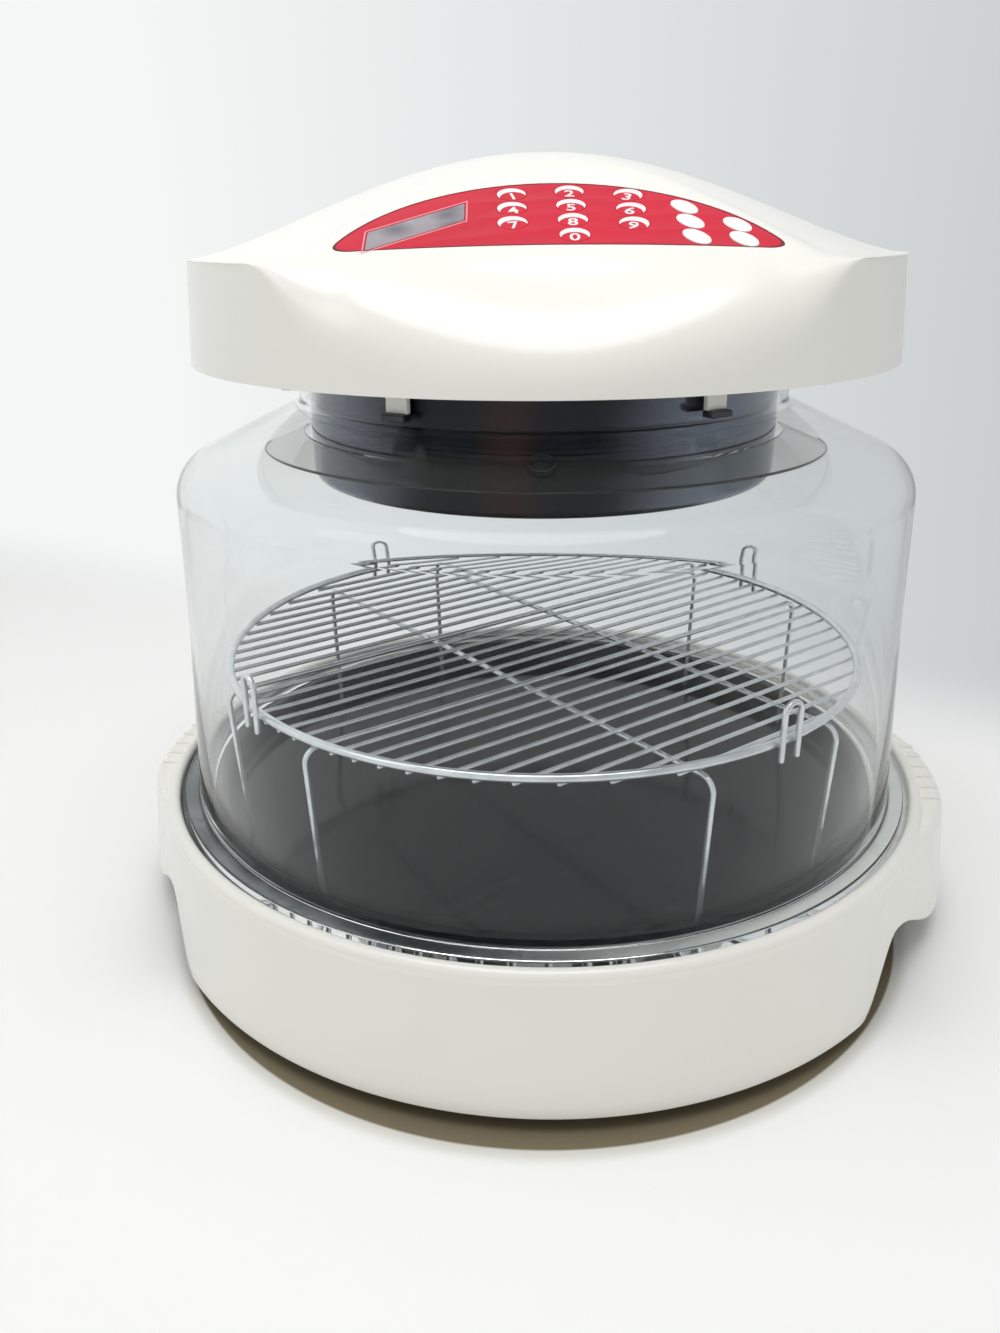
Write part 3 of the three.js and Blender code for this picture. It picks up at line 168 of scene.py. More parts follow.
def studio_world():
    """Lights the oven as a plain bright room, and shows the grey wall to the eye."""
    world = bpy.data.worlds.new("studio")
    world.use_nodes = True
    tree = world.node_tree
    tree.nodes.clear()
    way = add_node(tree, "TexCoord").outputs["Generated"]
    room = faded(tree, split(tree, way)["Z"], ROOM_RISE, ROOM_LOW, ROOM_HIGH)
    ray = add_node(tree, "LightPath").outputs
    straight = worked_out(tree, "MAXIMUM", ray["Is Camera Ray"], ray["Is Transmission Ray"])[0]
    straight = worked_out(tree, "MAXIMUM", straight, ray["Is Glossy Ray"])[0]
    sky = add_node(tree, "Background", {"Color": room, "Strength": ROOM_LIGHT})
    wall = add_node(tree, "Background", {"Color": wall_grey(tree, way)})
    both = add_node(tree, "MixShader", {
        "Fac": straight, 1: sky.outputs[0], 2: wall.outputs[0]})
    add_node(tree, "OutputWorld", {"Surface": both.outputs[0]})
    return world


def floor_material():
    """White near the oven, with a painted shadow under it that fades out through a painted soft
    edge; behind a slanting line it turns into the wall's grey."""
    made, tree, shader = new_material("table_top")
    place = object_place(tree)
    out = worked_out(tree, "DISTANCE", place, SHADE_MIDDLE, kind="VectorMath")["Value"]
    # Painted shadow: a dark brown disc under the tray, ringed by a softer painted penumbra.
    soft = faded(tree, out, (SHADE_EDGE, SHADE_FADE), FLOOR_PAINTED_PENUMBRA, FLOOR_WHITE, "SMOOTHSTEP")
    shade = faded(tree, out, (SHADE_EDGE - SHADE_BLUR, SHADE_EDGE), SHADE_BROWN, soft)
    set_inputs(shader, {"Base Color": shade, "Roughness": 0.55, "Specular IOR Level": 0.3})
    axis = split(tree, place)
    behind = worked_out(tree, "MULTIPLY_ADD", axis["X"], FLOOR_SLANT, axis["Y"])[0]
    share = mapped(tree, behind, *FLOOR_TURNS_GREY, kind="SMOOTHSTEP")
    away = worked_out(tree, "SUBTRACT", place, MM * Vector(CAMERA_PLACE), kind="VectorMath")[0]
    away = worked_out(tree, "NORMALIZE", away, kind="VectorMath")[0]
    show_mixed(tree, share, shader, add_node(tree, "Emission", {"Color": wall_grey(tree, away)}))
    return made


def round_angles(steps):
    return [2 * math.pi * i / steps for i in range(steps)]


def polar(radius, angle, height=0.0):
    return (radius * math.cos(angle), radius * math.sin(angle), height)


def soft_lamp(name, place, aim, width, power):
    lamp = bpy.data.lights.new(name, "AREA")
    lamp.shape = "DISK"
    lamp.size = width * MM
    lamp.energy = power
    holder = bpy.data.objects.new(name, lamp)
    way = Vector(aim) - Vector(place)
    holder.matrix_world = at(*place) @ way.to_track_quat("-Z", "Y").to_matrix().to_4x4()
    scene.collection.objects.link(holder)
    return holder


scene.world = studio_world()
floor_mesh = bpy.data.meshes.new("table_top")
floor_mesh.from_pydata([polar(FLOOR_RADIUS * MM, t) for t in round_angles(FLOOR_SIDES)], [],
                       [range(FLOOR_SIDES)])
table_top = bpy.data.objects.new("table_top", floor_mesh)
table_top.data.materials.append(floor_material())
scene.collection.objects.link(table_top)
soft_lamp("overhead_lamp", **OVERHEAD)
soft_lamp("window_lamp", **WINDOW_SIDE)


# Base tray
# One moulding in cream-white gloss plastic: a flared round wall with a rolled rim bead, two
# handles with six ribs on their decks, and a well that takes the pan. The wall's bottom edge
# arches up beside the handles for the fingers.
TRAY_HEIGHT = 66
TRAY_LIFT = 6
TRAY_RIM = 180
TRAY_RECESS = 174.3
TRAY_LEDGE = 62
TRAY_MIDDLE = 40
TRAY_WELL = 158
TRAY_FLOOR = 47
TRAY_FLARE = 5.8
TRAY_WALL = 3
WELL_FOOT = ((3, 0), (1, 0.6), (0, 2.5))
WELL_EDGE = ((0, -1), (0.3, -0.3), (1, 0))
RECESS_FOOT = 0.8
RECESS_UNDER = 2
BEAD_ROUND = 3.2
BEAD_INSIDE = 2.3
EAR_TOP = 61
EAR_FACE = 190.4
EAR_BOW = 1.9
EAR_CORNER = 14
EAR_ROOT = 22
EAR_ROOT_SPREAD = 13
EAR_ROOT_DEPTH = 27
EAR_CORNER_BLEND = 6
EAR_ROOT_BLEND = 3.5
EAR_ROUND = 3.5
EAR_EDGE = 14
ARCH_PEAK = 35
ARCH_START = 41
ARCH_TOP = 31.5
DECK_NOOK = ((0.02, 1.2), (0.35, 0.35), (1.2, 0))
DECK_START = 1.2
BEAD_STEP = 0.05
BEAD_RUN = 1.7
LIP_ROUND = 0.8
TRAY_STEPS = 360
RIB_COUNT = 6
RIB_PITCH = 10.7
RIB_RADIUS = 1.2
RIB_MARGIN = 2.6
CREAM = (247, 246, 239)
# Painted shade on the ledge under the flange: dark streaks and a shaded cream.
LEDGE_PAINTED_SHADE = ((48, 51, 53), (104, 107, 108))
LEDGE_SHADED_CREAM = (214, 215, 211)
LEDGE_ACROSS = (-0.02, 0.13)
CLOUD_BAND = (0.3, 0.7)
GLOSS_SPREAD = 0.15
GRAIN_DEPTH = 0.0002
CAP_STEPS = 4
CREASE = 35


def smooth(value, low, high):
    share = min(max((value - low) / (high - low), 0), 1)
    return share * share * (3 - 2 * share)


def soft_min(a, b, blend):
    closeness = max(blend - abs(a - b), 0) / blend
    return min(a, b) - closeness * closeness * blend / 4


def spot(radius, degrees):
    angle = math.radians(degrees)
    return Vector((radius * math.cos(angle), radius * math.sin(angle)))


def aside_of(angle):
    """Degrees from the nearer handle's middle."""
    return math.degrees(math.acos(min(abs(math.cos(angle)), 1)))


def tray_outline(angle, height):
    """Radius of the tray's outer face in a direction, at a height."""
    share = (TRAY_HEIGHT - height) / (TRAY_HEIGHT - TRAY_LIFT)
    grow = TRAY_FLARE * share
    round_wall = TRAY_RIM + grow
    aside = aside_of(angle)
    if aside > ARCH_START:
        return round_wall
    face = EAR_FACE + grow - EAR_BOW * (aside / EAR_CORNER) ** 2
    corner = spot(EAR_FACE + grow - EAR_BOW, EAR_CORNER)
    spread = EAR_ROOT_SPREAD * smooth(TRAY_HEIGHT - height, 0, EAR_ROOT_DEPTH)
    edge = spot(round_wall, EAR_ROOT + spread) - corner
    side = corner.cross(edge) / spot(1, aside).cross(edge)
    handle = soft_min(face, side, EAR_CORNER_BLEND)
    return -soft_min(-round_wall, -handle, EAR_ROOT_BLEND)


def tray_edge(angle):
    """Height of the wall's bottom edge."""
    aside = aside_of(angle)
    arch = smooth(-aside, -ARCH_START, -ARCH_TOP)
    handle = smooth(-aside, -ARCH_TOP, -EAR_CORNER)
    return TRAY_LIFT + (ARCH_PEAK - TRAY_LIFT) * arch + (EAR_EDGE - ARCH_PEAK) * handle


def ear_share(angle):
    """How much of a handle there is, from 0 to 1."""
    return smooth(tray_outline(angle, TRAY_HEIGHT) - TRAY_RIM, 0, EAR_ROUND)


def turns(steps, start=0, end=90):
    return [math.radians(start + (end - start) * i / steps) for i in range(steps + 1)]


def closed(bm):
    """The mesh that was drawn."""
    mesh = bpy.data.meshes.new("mesh")
    bm.to_mesh(mesh)
    bm.free()
    return mesh


def skin(rows, first=None, last=None, loop=False):
    """Mesh through rows of points. Each end may close on a point, or the last row may run on
    into the first."""
    bm = bmesh.new()
    made = [[bm.verts.new(MM * Vector(p)) for p in row] for row in rows]
    pairs = list(zip(made, made[1:] + made[:1]))
    for low, high in pairs if loop else pairs[:-1]:
        for i in range(len(low)):
            j = (i + 1) % len(low)
            bm.faces.new((low[i], low[j], high[j], high[i]))
    for tip, row in ((first, made[0]), (last, made[-1])):
        if tip is not None:
            point = bm.verts.new(MM * Vector(tip))
            for i in range(len(row)):
                bm.faces.new((row[i], row[(i + 1) % len(row)], point))
    bmesh.ops.recalc_face_normals(bm, faces=bm.faces)
    return closed(bm)


def around(radius_at, height_at):
    """A row of points right round the Z axis."""
    return [polar(radius_at(angle, height_at(angle)), angle, height_at(angle))
            for angle in round_angles(TRAY_STEPS)]


def joined(meshes):
    """One mesh that holds several."""
    bm = bmesh.new()
    for part in meshes:
        bm.from_mesh(part)
    return closed(bm)


def tube(points, radius, sides=14):
    """Round wire with rounded ends."""
    path = [Vector(p) for p in points]
    ways = [(b - a).normalized() for a, b in zip(path, path[1:])]
    ways = [ways[0]] + [(a + b).normalized() for a, b in zip(ways, ways[1:])] + [ways[-1]]
    side = ways[0].orthogonal().normalized()
    rows = []

    def ring(centre, way, size):
        other = way.cross(side)
        rows.append([centre + size * (math.cos(t) * side + math.sin(t) * other)
                     for t in round_angles(sides)])

    for turn in turns(CAP_STEPS)[1:]:
        ring(path[0] - ways[0] * radius * math.cos(turn), ways[0], radius * math.sin(turn))
    for centre, way in list(zip(path, ways))[1:-1]:
        side = (side - way * side.dot(way)).normalized()
        ring(centre, way, radius)
    side = (side - ways[-1] * side.dot(ways[-1])).normalized()
    for turn in reversed(turns(CAP_STEPS)[1:]):
        ring(path[-1] + ways[-1] * radius * math.cos(turn), ways[-1], radius * math.sin(turn))
    return skin(rows, path[0] - ways[0] * radius, path[-1] + ways[-1] * radius)


def noise(tree, place, scale, detail=2.0):
    return add_node(tree, "TexNoise", {
        "Vector": place, "Scale": scale, "Detail": detail}).outputs["Fac"]


def bump(tree, height, strength, distance):
    return add_node(tree, "Bump", {
        "Height": height, "Strength": strength, "Distance": distance}).outputs[0]


def finish(name, colour, roughness, metallic=0.0, mottle=0.03, mottle_scale=40.0,
           grain=0.0, grain_scale=600.0, coat=0.0, specular=0.5):
    """Opaque material: a faint cloudy change of colour and gloss, and a fine surface grain."""
    made, tree, shader = new_material(name)
    base = linear(colour)
    place = object_place(tree)
    cloud = noise(tree, place, mottle_scale, 4.0)
    dark = tuple(c * (1 - mottle) for c in base[:3]) + (1,)
    light = tuple(min(c * (1 + mottle), 1) for c in base[:3]) + (1,)
    gloss = mapped(tree, cloud, *CLOUD_BAND, roughness * (1 - GLOSS_SPREAD),
                   roughness * (1 + GLOSS_SPREAD))
    set_inputs(shader, {
        "Base Color": faded(tree, cloud, CLOUD_BAND, dark, light), "Roughness": gloss,
        "Metallic": metallic, "Specular IOR Level": specular, "Coat Weight": coat,
        "Coat Roughness": 0.08})
    if grain:
        set_inputs(shader, {
            "Normal": bump(tree, noise(tree, place, grain_scale), grain, GRAIN_DEPTH)})
    return made


def retinted(made, tint):
    """Puts a patterned colour in place of a finish's own."""
    tree = made.node_tree
    set_inputs(tree.nodes["Principled BSDF"], {"Base Color": tint(tree, object_place(tree))})
    return made


def add_piece(name, mesh, material, body, slot, *replaced, place=Matrix()):
    """A finished piece: smooth shaded, painted, and riding its body."""
    mesh.name = name
    mesh.transform(place)
    mesh.shade_smooth()
    mesh.set_sharp_from_angle(angle=math.radians(CREASE))
    mesh.materials.clear()
    mesh.materials.append(material)
    obj = bpy.data.objects.new(name, mesh)
    scene.collection.objects.link(obj)
    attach(obj, body)
    if replaced:
        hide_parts(*replaced)
    return obj


def tray_rows():
    """From the well's middle out over the rim, down the wall and back underneath."""
    rows = []

    def add(radius_at, height_at):
        rows.append(around(radius_at, height_at))

    def add_round(radius, height):
        add(lambda angle, z: radius, lambda angle: height)

    add_round(TRAY_MIDDLE, TRAY_FLOOR)
    for inward, up in WELL_FOOT:
        add_round(TRAY_WELL - inward, TRAY_FLOOR + up)
    for out, up in WELL_EDGE:
        add_round(TRAY_WELL + out, TRAY_LEDGE + up)
    add_round(TRAY_RECESS - RECESS_FOOT, TRAY_LEDGE)
    add_round(TRAY_RECESS, TRAY_LEDGE + RECESS_FOOT)
    for turn in turns(6, 180, 90):
        add_round(TRAY_RECESS + BEAD_INSIDE * (1 + math.cos(turn)),
                  TRAY_HEIGHT - BEAD_INSIDE * (1 - math.sin(turn)))
    bead_foot = TRAY_HEIGHT - BEAD_ROUND
    for turn in turns(8, 90, 0):
        add_round(TRAY_RIM - BEAD_ROUND * (1 - math.cos(turn)),
                  bead_foot + BEAD_ROUND * math.sin(turn))
    for out, up in DECK_NOOK:
        add(lambda angle, z: TRAY_RIM + out * ear_share(angle),
            lambda angle: bead_foot - BEAD_STEP
            + (EAR_TOP + up - bead_foot) * ear_share(angle))
    for share in (0.35, 0.7, 0.92):
        add(lambda angle, z: TRAY_RIM + DECK_START * ear_share(angle) * (1 - share)
            + (tray_outline(angle, EAR_TOP) - EAR_ROUND * ear_share(angle) - TRAY_RIM) * share,
            lambda angle: bead_foot - 2 * BEAD_STEP - BEAD_RUN * share
            + (EAR_TOP - bead_foot + BEAD_RUN * share) * ear_share(angle))
    for turn in turns(7, 90, 0):
        add(lambda angle, z: tray_outline(angle, z)
            - EAR_ROUND * (1 - math.cos(turn)) * ear_share(angle),
            lambda angle: EAR_TOP - EAR_ROUND * (1 - math.sin(turn)))
    top = EAR_TOP - EAR_ROUND
    for share in (0.15, 0.35, 0.55, 0.75, 0.9, 1):
        add(tray_outline,
            lambda angle: top + (tray_edge(angle) + LIP_ROUND - top) * share)
    for turn in turns(3, 0, 90)[1:]:
        add(lambda angle, z: tray_outline(angle, z) - LIP_ROUND * (1 - math.cos(turn)),
            lambda angle: tray_edge(angle) + LIP_ROUND * (1 - math.sin(turn)))
    for share in (0, 0.3, 0.6, 1):
        add(lambda angle, z: tray_outline(angle, z) - TRAY_WALL,
            lambda angle: tray_edge(angle) + (EAR_TOP - TRAY_WALL - tray_edge(angle)) * share)
    under = TRAY_LEDGE - TRAY_WALL
    add_round(TRAY_RECESS + RECESS_UNDER, under)
    add_round(TRAY_WELL + TRAY_WALL, under)
    add_round(TRAY_WELL + TRAY_WALL, TRAY_FLOOR - TRAY_WALL)
    add_round(TRAY_MIDDLE, TRAY_FLOOR - TRAY_WALL)
    return rows


def tray_ribs():
    ribs = []
    for i in range(RIB_COUNT):
        across = (i - (RIB_COUNT - 1) / 2) * RIB_PITCH
        start = math.sqrt(TRAY_RIM ** 2 - across ** 2) - RIB_RADIUS
        end = math.sqrt(EAR_FACE ** 2 - across ** 2) - RIB_MARGIN
        points = [(start + (end - start) * k / 4, across, EAR_TOP) for k in range(5)]
        ribs.append(tube(points, RIB_RADIUS))
        ribs.append(tube([(-x, y, z) for x, y, z in points], RIB_RADIUS))
    return ribs


def centred(height):
    return (0, 0, height)


cream = finish("cream_gloss_plastic", CREAM, 0.24, mottle=0.012, mottle_scale=9, grain=0.05,
               grain_scale=500, coat=0.25)
tray = joined([
    skin(tray_rows(), centred(TRAY_FLOOR), centred(TRAY_FLOOR - TRAY_WALL)), *tray_ribs()])
tray = add_piece("tray_moulding", tray, cream, "base", "cream_shell", "base_tray")


def ledge_tint(tree, place):
    """Painted shade: a shaded cream that darkens in streaks towards the left, standing for the
    black pan seen through the clear flange above the ledge.
    """
    dark = faded(tree, noise(tree, place, 35.0), (0.35, 0.65), *map(linear, LEDGE_PAINTED_SHADE))
    return faded(tree, split(tree, place)["X"], LEDGE_ACROSS, dark, linear(LEDGE_SHADED_CREAM),
                 "SMOOTHSTEP")


ledge_shade_material = retinted(finish("shaded_ledge", LEDGE_SHADED_CREAM, 0.3), ledge_tint)
# The ledge's faces under the dome's flange carry this painted shade.
tray.data.materials.append(ledge_shade_material)
for face in tray.data.polygons:
    middle = face.center / MM
    if (TRAY_WELL + 1 < middle.xy.length < TRAY_RECESS + 0.3
            and TRAY_LEDGE - 0.5 < middle.z < TRAY_LEDGE + 1.2):
        face.material_index = 1


# Feet
# Four round pads of black rubber, each pushed by its stem into a boss under the tray. They
# barely show below the wall.
FOOT_CIRCLE = 148
FOOT_ANGLES = (57, 123, 237, 303)
FOOT_RADIUS = 10
FOOT_HEIGHT = 6
FOOT_STEM = 3
FOOT_STEM_TOP = 15
ROUND_STEPS = 200
ON_AXIS = 1e-6


def rounded(corners, steps=6):
    """Points along lines between corners (across, up, round), the round ones made arcs."""
    points = []
    for i, corner in enumerate(corners):
        here = Vector(corner[:2])
        size = corner[2] if len(corner) > 2 else 0
        if not size or i in (0, len(corners) - 1):
            points.append(here)
            continue
        back = Vector(corners[i - 1][:2]) - here
        ahead = Vector(corners[i + 1][:2]) - here
        half = back.angle(ahead) / 2
        reach = min(size / math.tan(half), 0.499 * min(back.length, ahead.length))
        size = reach * math.tan(half)
        middle = (back.normalized() + ahead.normalized()).normalized() * size / math.sin(half)
        start = back.normalized() * reach - middle
        end = ahead.normalized() * reach - middle
        sweep = start.angle_signed(end)
        for k in range(steps + 1):
            angle = -sweep * k / steps
            points.append(here + middle + Vector((
                start.x * math.cos(angle) - start.y * math.sin(angle),
                start.x * math.sin(angle) + start.y * math.cos(angle))))
    return points


def spun(profile, steps=ROUND_STEPS, loop=False):
    """Turned piece: its section (radius, height) taken round the Z axis."""
    section = [Vector(p) for p in profile]
    ends = [None, None]
    if not loop:
        for k in (0, -1):
            if section[k].x < ON_AXIS:
                ends[k] = centred(section[k].y)
        section = section[1 if ends[0] else 0: -1 if ends[1] else None]
    rows = [[polar(p.x, t, p.y) for t in round_angles(steps)] for p in section]
    return skin(rows, *ends, loop=loop)


rubber = finish("black_rubber", (34, 34, 35), 0.75, mottle=0.15, grain=0.4, grain_scale=1500)
foot_section = rounded([(0, 0), (FOOT_RADIUS, 0, 1.2), (FOOT_RADIUS, FOOT_HEIGHT, 0.8),
                        (FOOT_STEM, FOOT_HEIGHT), (FOOT_STEM, FOOT_STEM_TOP),
                        (0, FOOT_STEM_TOP)])
for number, degrees in enumerate(FOOT_ANGLES, 1):
    pad = spun(foot_section, 40)
    pad.transform(at(*spot(FOOT_CIRCLE, degrees), 0))
    add_piece(f"foot_pad_{number}", pad, rubber, "base", "black_rubber", f"base_foot_{number}")


# Liner pan
# A shallow round pan pressed from thin steel with a black gloss non-stick coating. It hangs
# by its flat rim on the tray's ledge and catches what drips from the rack.
PAN_RIM = 160.6
PAN_WALL = 154.6
PAN_FLOOR = 151.5
PAN_FLOOR_HEIGHT = 50
PAN_SHEET = 1.2
PAN_SEAT = 62.3
PAN_RIM_ROUND = 0.55


def pan_section():
    top = PAN_SEAT + PAN_SHEET
    return rounded([
        (0, PAN_FLOOR_HEIGHT), (PAN_FLOOR, PAN_FLOOR_HEIGHT, 2.5), (PAN_WALL, top, 1.6),
        (PAN_RIM, top, PAN_RIM_ROUND), (PAN_RIM, PAN_SEAT, PAN_RIM_ROUND),
        (PAN_WALL + PAN_SHEET, PAN_SEAT, 0.6),
        (PAN_FLOOR + PAN_SHEET, PAN_FLOOR_HEIGHT - PAN_SHEET, 3.5),
        (0, PAN_FLOOR_HEIGHT - PAN_SHEET),
    ])


black_enamel = finish("black_nonstick", (10, 12, 14), 0.09, mottle=0.25, mottle_scale=14,
                      grain=0.04, grain_scale=700, specular=0.24)
add_piece("pan_pressing", spun(pan_section()), black_enamel, "pan", "black_liner", "liner_pan")


# Wire rack
# Welded chromed wire: parallel bars under a stout ring, two leg wires in the place of bars and
# two across them, each bent down into legs that stand in the pan.
RACK_RADIUS = 147.5
RACK_HEIGHT = 125
RACK_TURN = 43.6
RING_WIRE = 1.8
BAR_WIRE = 0.95
BAR_COUNT = 28
BAR_PITCH = 10.2
BAR_OVERHANG = -2
BAR_HEIGHT = 122.5
LEG_WIRE = 1.2
LEG_OFFSET = 35.7
LEG_BEND = 6
LEG_LEAN = 3
SEAT_GAP = 0.3
LOOP_WIRE = 1.25
LOOP_WIDTH = 9
LOOP_ROUND = 4.275
LOOP_TOP = RACK_HEIGHT + 17
LOOP_BOTTOM = RACK_HEIGHT - 6


def even(points, pitch=4.0):
    """The same path with long straight stretches broken up."""
    out = [Vector(points[0])]
    for a, b in zip(points, points[1:]):
        a, b = Vector(a), Vector(b)
        count = max(1, round((b - a).length / pitch))
        out += [a.lerp(b, k / count) for k in range(1, count + 1)]
    return out


def rack_bars():
    bars = []
    for i in range(BAR_COUNT):
        across = (i - (BAR_COUNT - 1) / 2) * BAR_PITCH
        if abs(abs(across) - LEG_OFFSET) < 1:
            continue
        reach = math.sqrt((RACK_RADIUS + BAR_OVERHANG) ** 2 - across ** 2)
        ends = [(-reach, across, BAR_HEIGHT), (reach, across, BAR_HEIGHT)]
        bars.append(tube(even(ends, 20), BAR_WIRE))
    return bars


def leg_wire(across, height):
    circle = RACK_RADIUS + SEAT_GAP + LEG_WIRE
    bend = math.sqrt(circle ** 2 - across ** 2)
    foot = math.sqrt((circle - LEG_LEAN) ** 2 - across ** 2)
    half = rounded([(foot, PAN_FLOOR_HEIGHT + SEAT_GAP + LEG_WIRE), (bend, height, LEG_BEND),
                    (0, height)], 8)
    ahead = [(p.x, across, p.y) for p in half]
    return tube(even(ahead + [(-x, y, z) for x, y, z in reversed(ahead[:-1])], 12), LEG_WIRE)


def rack_loop():
    out = RACK_RADIUS + SEAT_GAP + LOOP_WIRE
    half = LOOP_WIDTH / 2
    path = rounded([(-half, LOOP_BOTTOM), (-half, LOOP_TOP, LOOP_ROUND),
                    (half, LOOP_TOP, LOOP_ROUND), (half, LOOP_BOTTOM)], 8)
    return tube(even([(out, p.x, p.y) for p in path]), LOOP_WIRE)


def circle_section(radius, height, size, steps=16):
    return [(radius + size * math.cos(t), height + size * math.sin(t))
            for t in round_angles(steps)]


chrome = finish("chromed_wire", (228, 230, 232), 0.16, metallic=0.74, mottle=0.1,
                mottle_scale=120, grain=0.05, grain_scale=900)
rack_place = turned(RACK_TURN)
ring = spun(circle_section(RACK_RADIUS - RING_WIRE, RACK_HEIGHT, RING_WIRE), loop=True)
add_piece("rack_grid", joined([ring, *rack_bars()]), chrome, "rack", "chrome_wire", "rack_grate",
          place=rack_place)
UPPER_LEG = RACK_HEIGHT - RING_WIRE - SEAT_GAP - LEG_WIRE
LOWER_LEG = UPPER_LEG - 2 * LEG_WIRE - SEAT_GAP
for number, (across, height, turn) in enumerate((
        (-LEG_OFFSET, UPPER_LEG, 0), (LEG_OFFSET, UPPER_LEG, 0),
        (-LEG_OFFSET, LOWER_LEG, 90), (LEG_OFFSET, LOWER_LEG, 90)), 1):
    add_piece(f"leg_wire_{number}", leg_wire(across, height), chrome, "rack", "chrome_wire",
              f"rack_leg_wire_{number}", place=rack_place @ turned(turn))
for number in range(1, 5):
    add_piece(f"ring_loop_{number}", rack_loop(), chrome, "rack", "chrome_wire",
              f"rack_loop_{number}", place=rack_place @ turned(90 * (number - 1)))


# Dome
# Clear moulded plastic: a flange in the tray's recess, a wall with a slight waist, a rounded
# shoulder, a sloped deck and a neck, with a small round gate mark. A dark half ring with a
# dark edge line is a painted reflection: a sheet put round the neck's root for the dark
# heater skirt seen through the clear plastic there; the real dome has no such part.
DOME_WALL = 2.5
FLANGE_RADIUS = 172
FLANGE_BOTTOM = 62.3
FLANGE_TOP = 65.6
SKIRT_RADIUS = 165
WAIST_RADIUS = 161
WAIST_HEIGHT = 149
WAIST_ROUND = 400
SHOULDER_RADIUS = 159.6
SHOULDER_HEIGHT = 213.5
SHOULDER_ROUND = 16
NECK_RADIUS = 105.5
NECK_ROOT = 238.8
NECK_TOP = 256
# Size and place of the painted dark band round the neck's root.
DARK_BAND_ROOT = 104
DARK_BAND_KNEE = 226.3
DARK_BAND_SIDE = 122.8
DARK_BAND_FRONT = 109
DARK_BAND_EDGE = 218.3
DARK_BAND_SHEET = 0.8
DARK_BAND_DRAFT = 0.2
DARK_BAND_START = 184.6
DARK_BAND_LINE = 0.4
DOME_IOR = 1.49
DOME_SHEEN = (0.25, 0.255, 0.26, 1)
DOME_SHADOW = (0.93, 0.94, 0.94, 1)
GATE_CIRCLE = 120
GATE_RADIUS = 4.6
GATE_WIRE = 0.55
GATE_ANGLE = 4.6


def dome_section():
    outside = rounded([
        (FLANGE_RADIUS, FLANGE_BOTTOM), (FLANGE_RADIUS, FLANGE_TOP, 0.9),
        (SKIRT_RADIUS, FLANGE_TOP, 1.6), (WAIST_RADIUS, WAIST_HEIGHT, WAIST_ROUND),
        (SHOULDER_RADIUS, SHOULDER_HEIGHT, SHOULDER_ROUND),
        (NECK_RADIUS, NECK_ROOT, 4), (NECK_RADIUS, NECK_TOP),
    ], 12)
    inside = rounded([
        (NECK_RADIUS - DOME_WALL, NECK_TOP), (NECK_RADIUS - DOME_WALL, NECK_ROOT - 1.6, 6),
        (SHOULDER_RADIUS - DOME_WALL, SHOULDER_HEIGHT - 1.4, SHOULDER_ROUND - DOME_WALL),
        (WAIST_RADIUS - DOME_WALL, WAIST_HEIGHT, WAIST_ROUND),
        (SKIRT_RADIUS - DOME_WALL, FLANGE_BOTTOM),
    ], 12)
    return outside + inside


def clear_plastic(name, colour):
    """Plastic that lets the lamps' light through to what stands inside."""
    made, tree, shader = new_material(name)
    place = object_place(tree)
    set_inputs(shader, {
        "Base Color": colour, "Transmission Weight": 1.0, "IOR": DOME_IOR,
        "Specular Tint": DOME_SHEEN,
        "Roughness": mapped(tree, noise(tree, place, 16.0, 3.0), *CLOUD_BAND, 0.0, 0.02),
        "Normal": bump(tree, noise(tree, place, 9.0, 1.0), 0.08, 0.002)})
    shadow = add_node(tree, "LightPath").outputs["Is Shadow Ray"]
    show_mixed(tree, shadow, shader, add_node(tree, "BsdfTransparent", {"Color": DOME_SHADOW}))
    return made


clear = clear_plastic("clear_plastic", (0.93, 0.945, 0.945, 1))
add_piece("dome_moulding", spun(dome_section(), 240, loop=True), clear, "dome", "clear_dome",
          "dome")
# Painted reflection: a dark sheet round the neck's root for the skirt seen through the plastic;
# its edge line uses the gate mark's black.
painted_dark_band = clear_plastic("painted_dark_band_plastic", (0.7, 0.71, 0.7, 1))
dark_band_rows, dark_band_edge_line = [], []
for t in turns(90, DARK_BAND_START, DARK_BAND_START + 180):
    radius = DARK_BAND_FRONT + (DARK_BAND_SIDE - DARK_BAND_FRONT) * abs(math.cos(t)) ** 3
    section = ((DARK_BAND_ROOT, DARK_BAND_KNEE), (radius, DARK_BAND_EDGE),
               (radius - DARK_BAND_DRAFT, DARK_BAND_EDGE - DARK_BAND_SHEET),
               (DARK_BAND_ROOT, DARK_BAND_KNEE - DARK_BAND_SHEET))
    dark_band_rows.append([polar(r, t, z) for r, z in section])
    dark_band_edge_line.append(polar(radius, t, DARK_BAND_EDGE))
tips = [Vector(row[0]).lerp(Vector(row[2]), 0.5) for row in (dark_band_rows[0], dark_band_rows[-1])]
add_piece("neck_band_painted_reflection", skin(dark_band_rows, *tips), painted_dark_band, "dome", "clear_dome")
gate_and_band_edge_black = finish("gate_mark", (34, 37, 40), 0.2, mottle=0.1)
add_piece("dark_band_edge_line", tube(dark_band_edge_line, DARK_BAND_LINE, 8), gate_and_band_edge_black, "dome", "clear_dome")
deck_fall = (NECK_ROOT - SHOULDER_HEIGHT) / (SHOULDER_RADIUS - NECK_RADIUS)
gate_place = at(0, -GATE_CIRCLE, NECK_ROOT - deck_fall * (GATE_CIRCLE - NECK_RADIUS))
gate = spun(circle_section(GATE_RADIUS, 0.1, GATE_WIRE, 10), 40, loop=True)
add_piece("gate_mark", gate, gate_and_band_edge_black, "dome", "clear_dome", place=turned(GATE_ANGLE)
          @ gate_place @ turned(math.degrees(math.atan(deck_fall)), "X"))


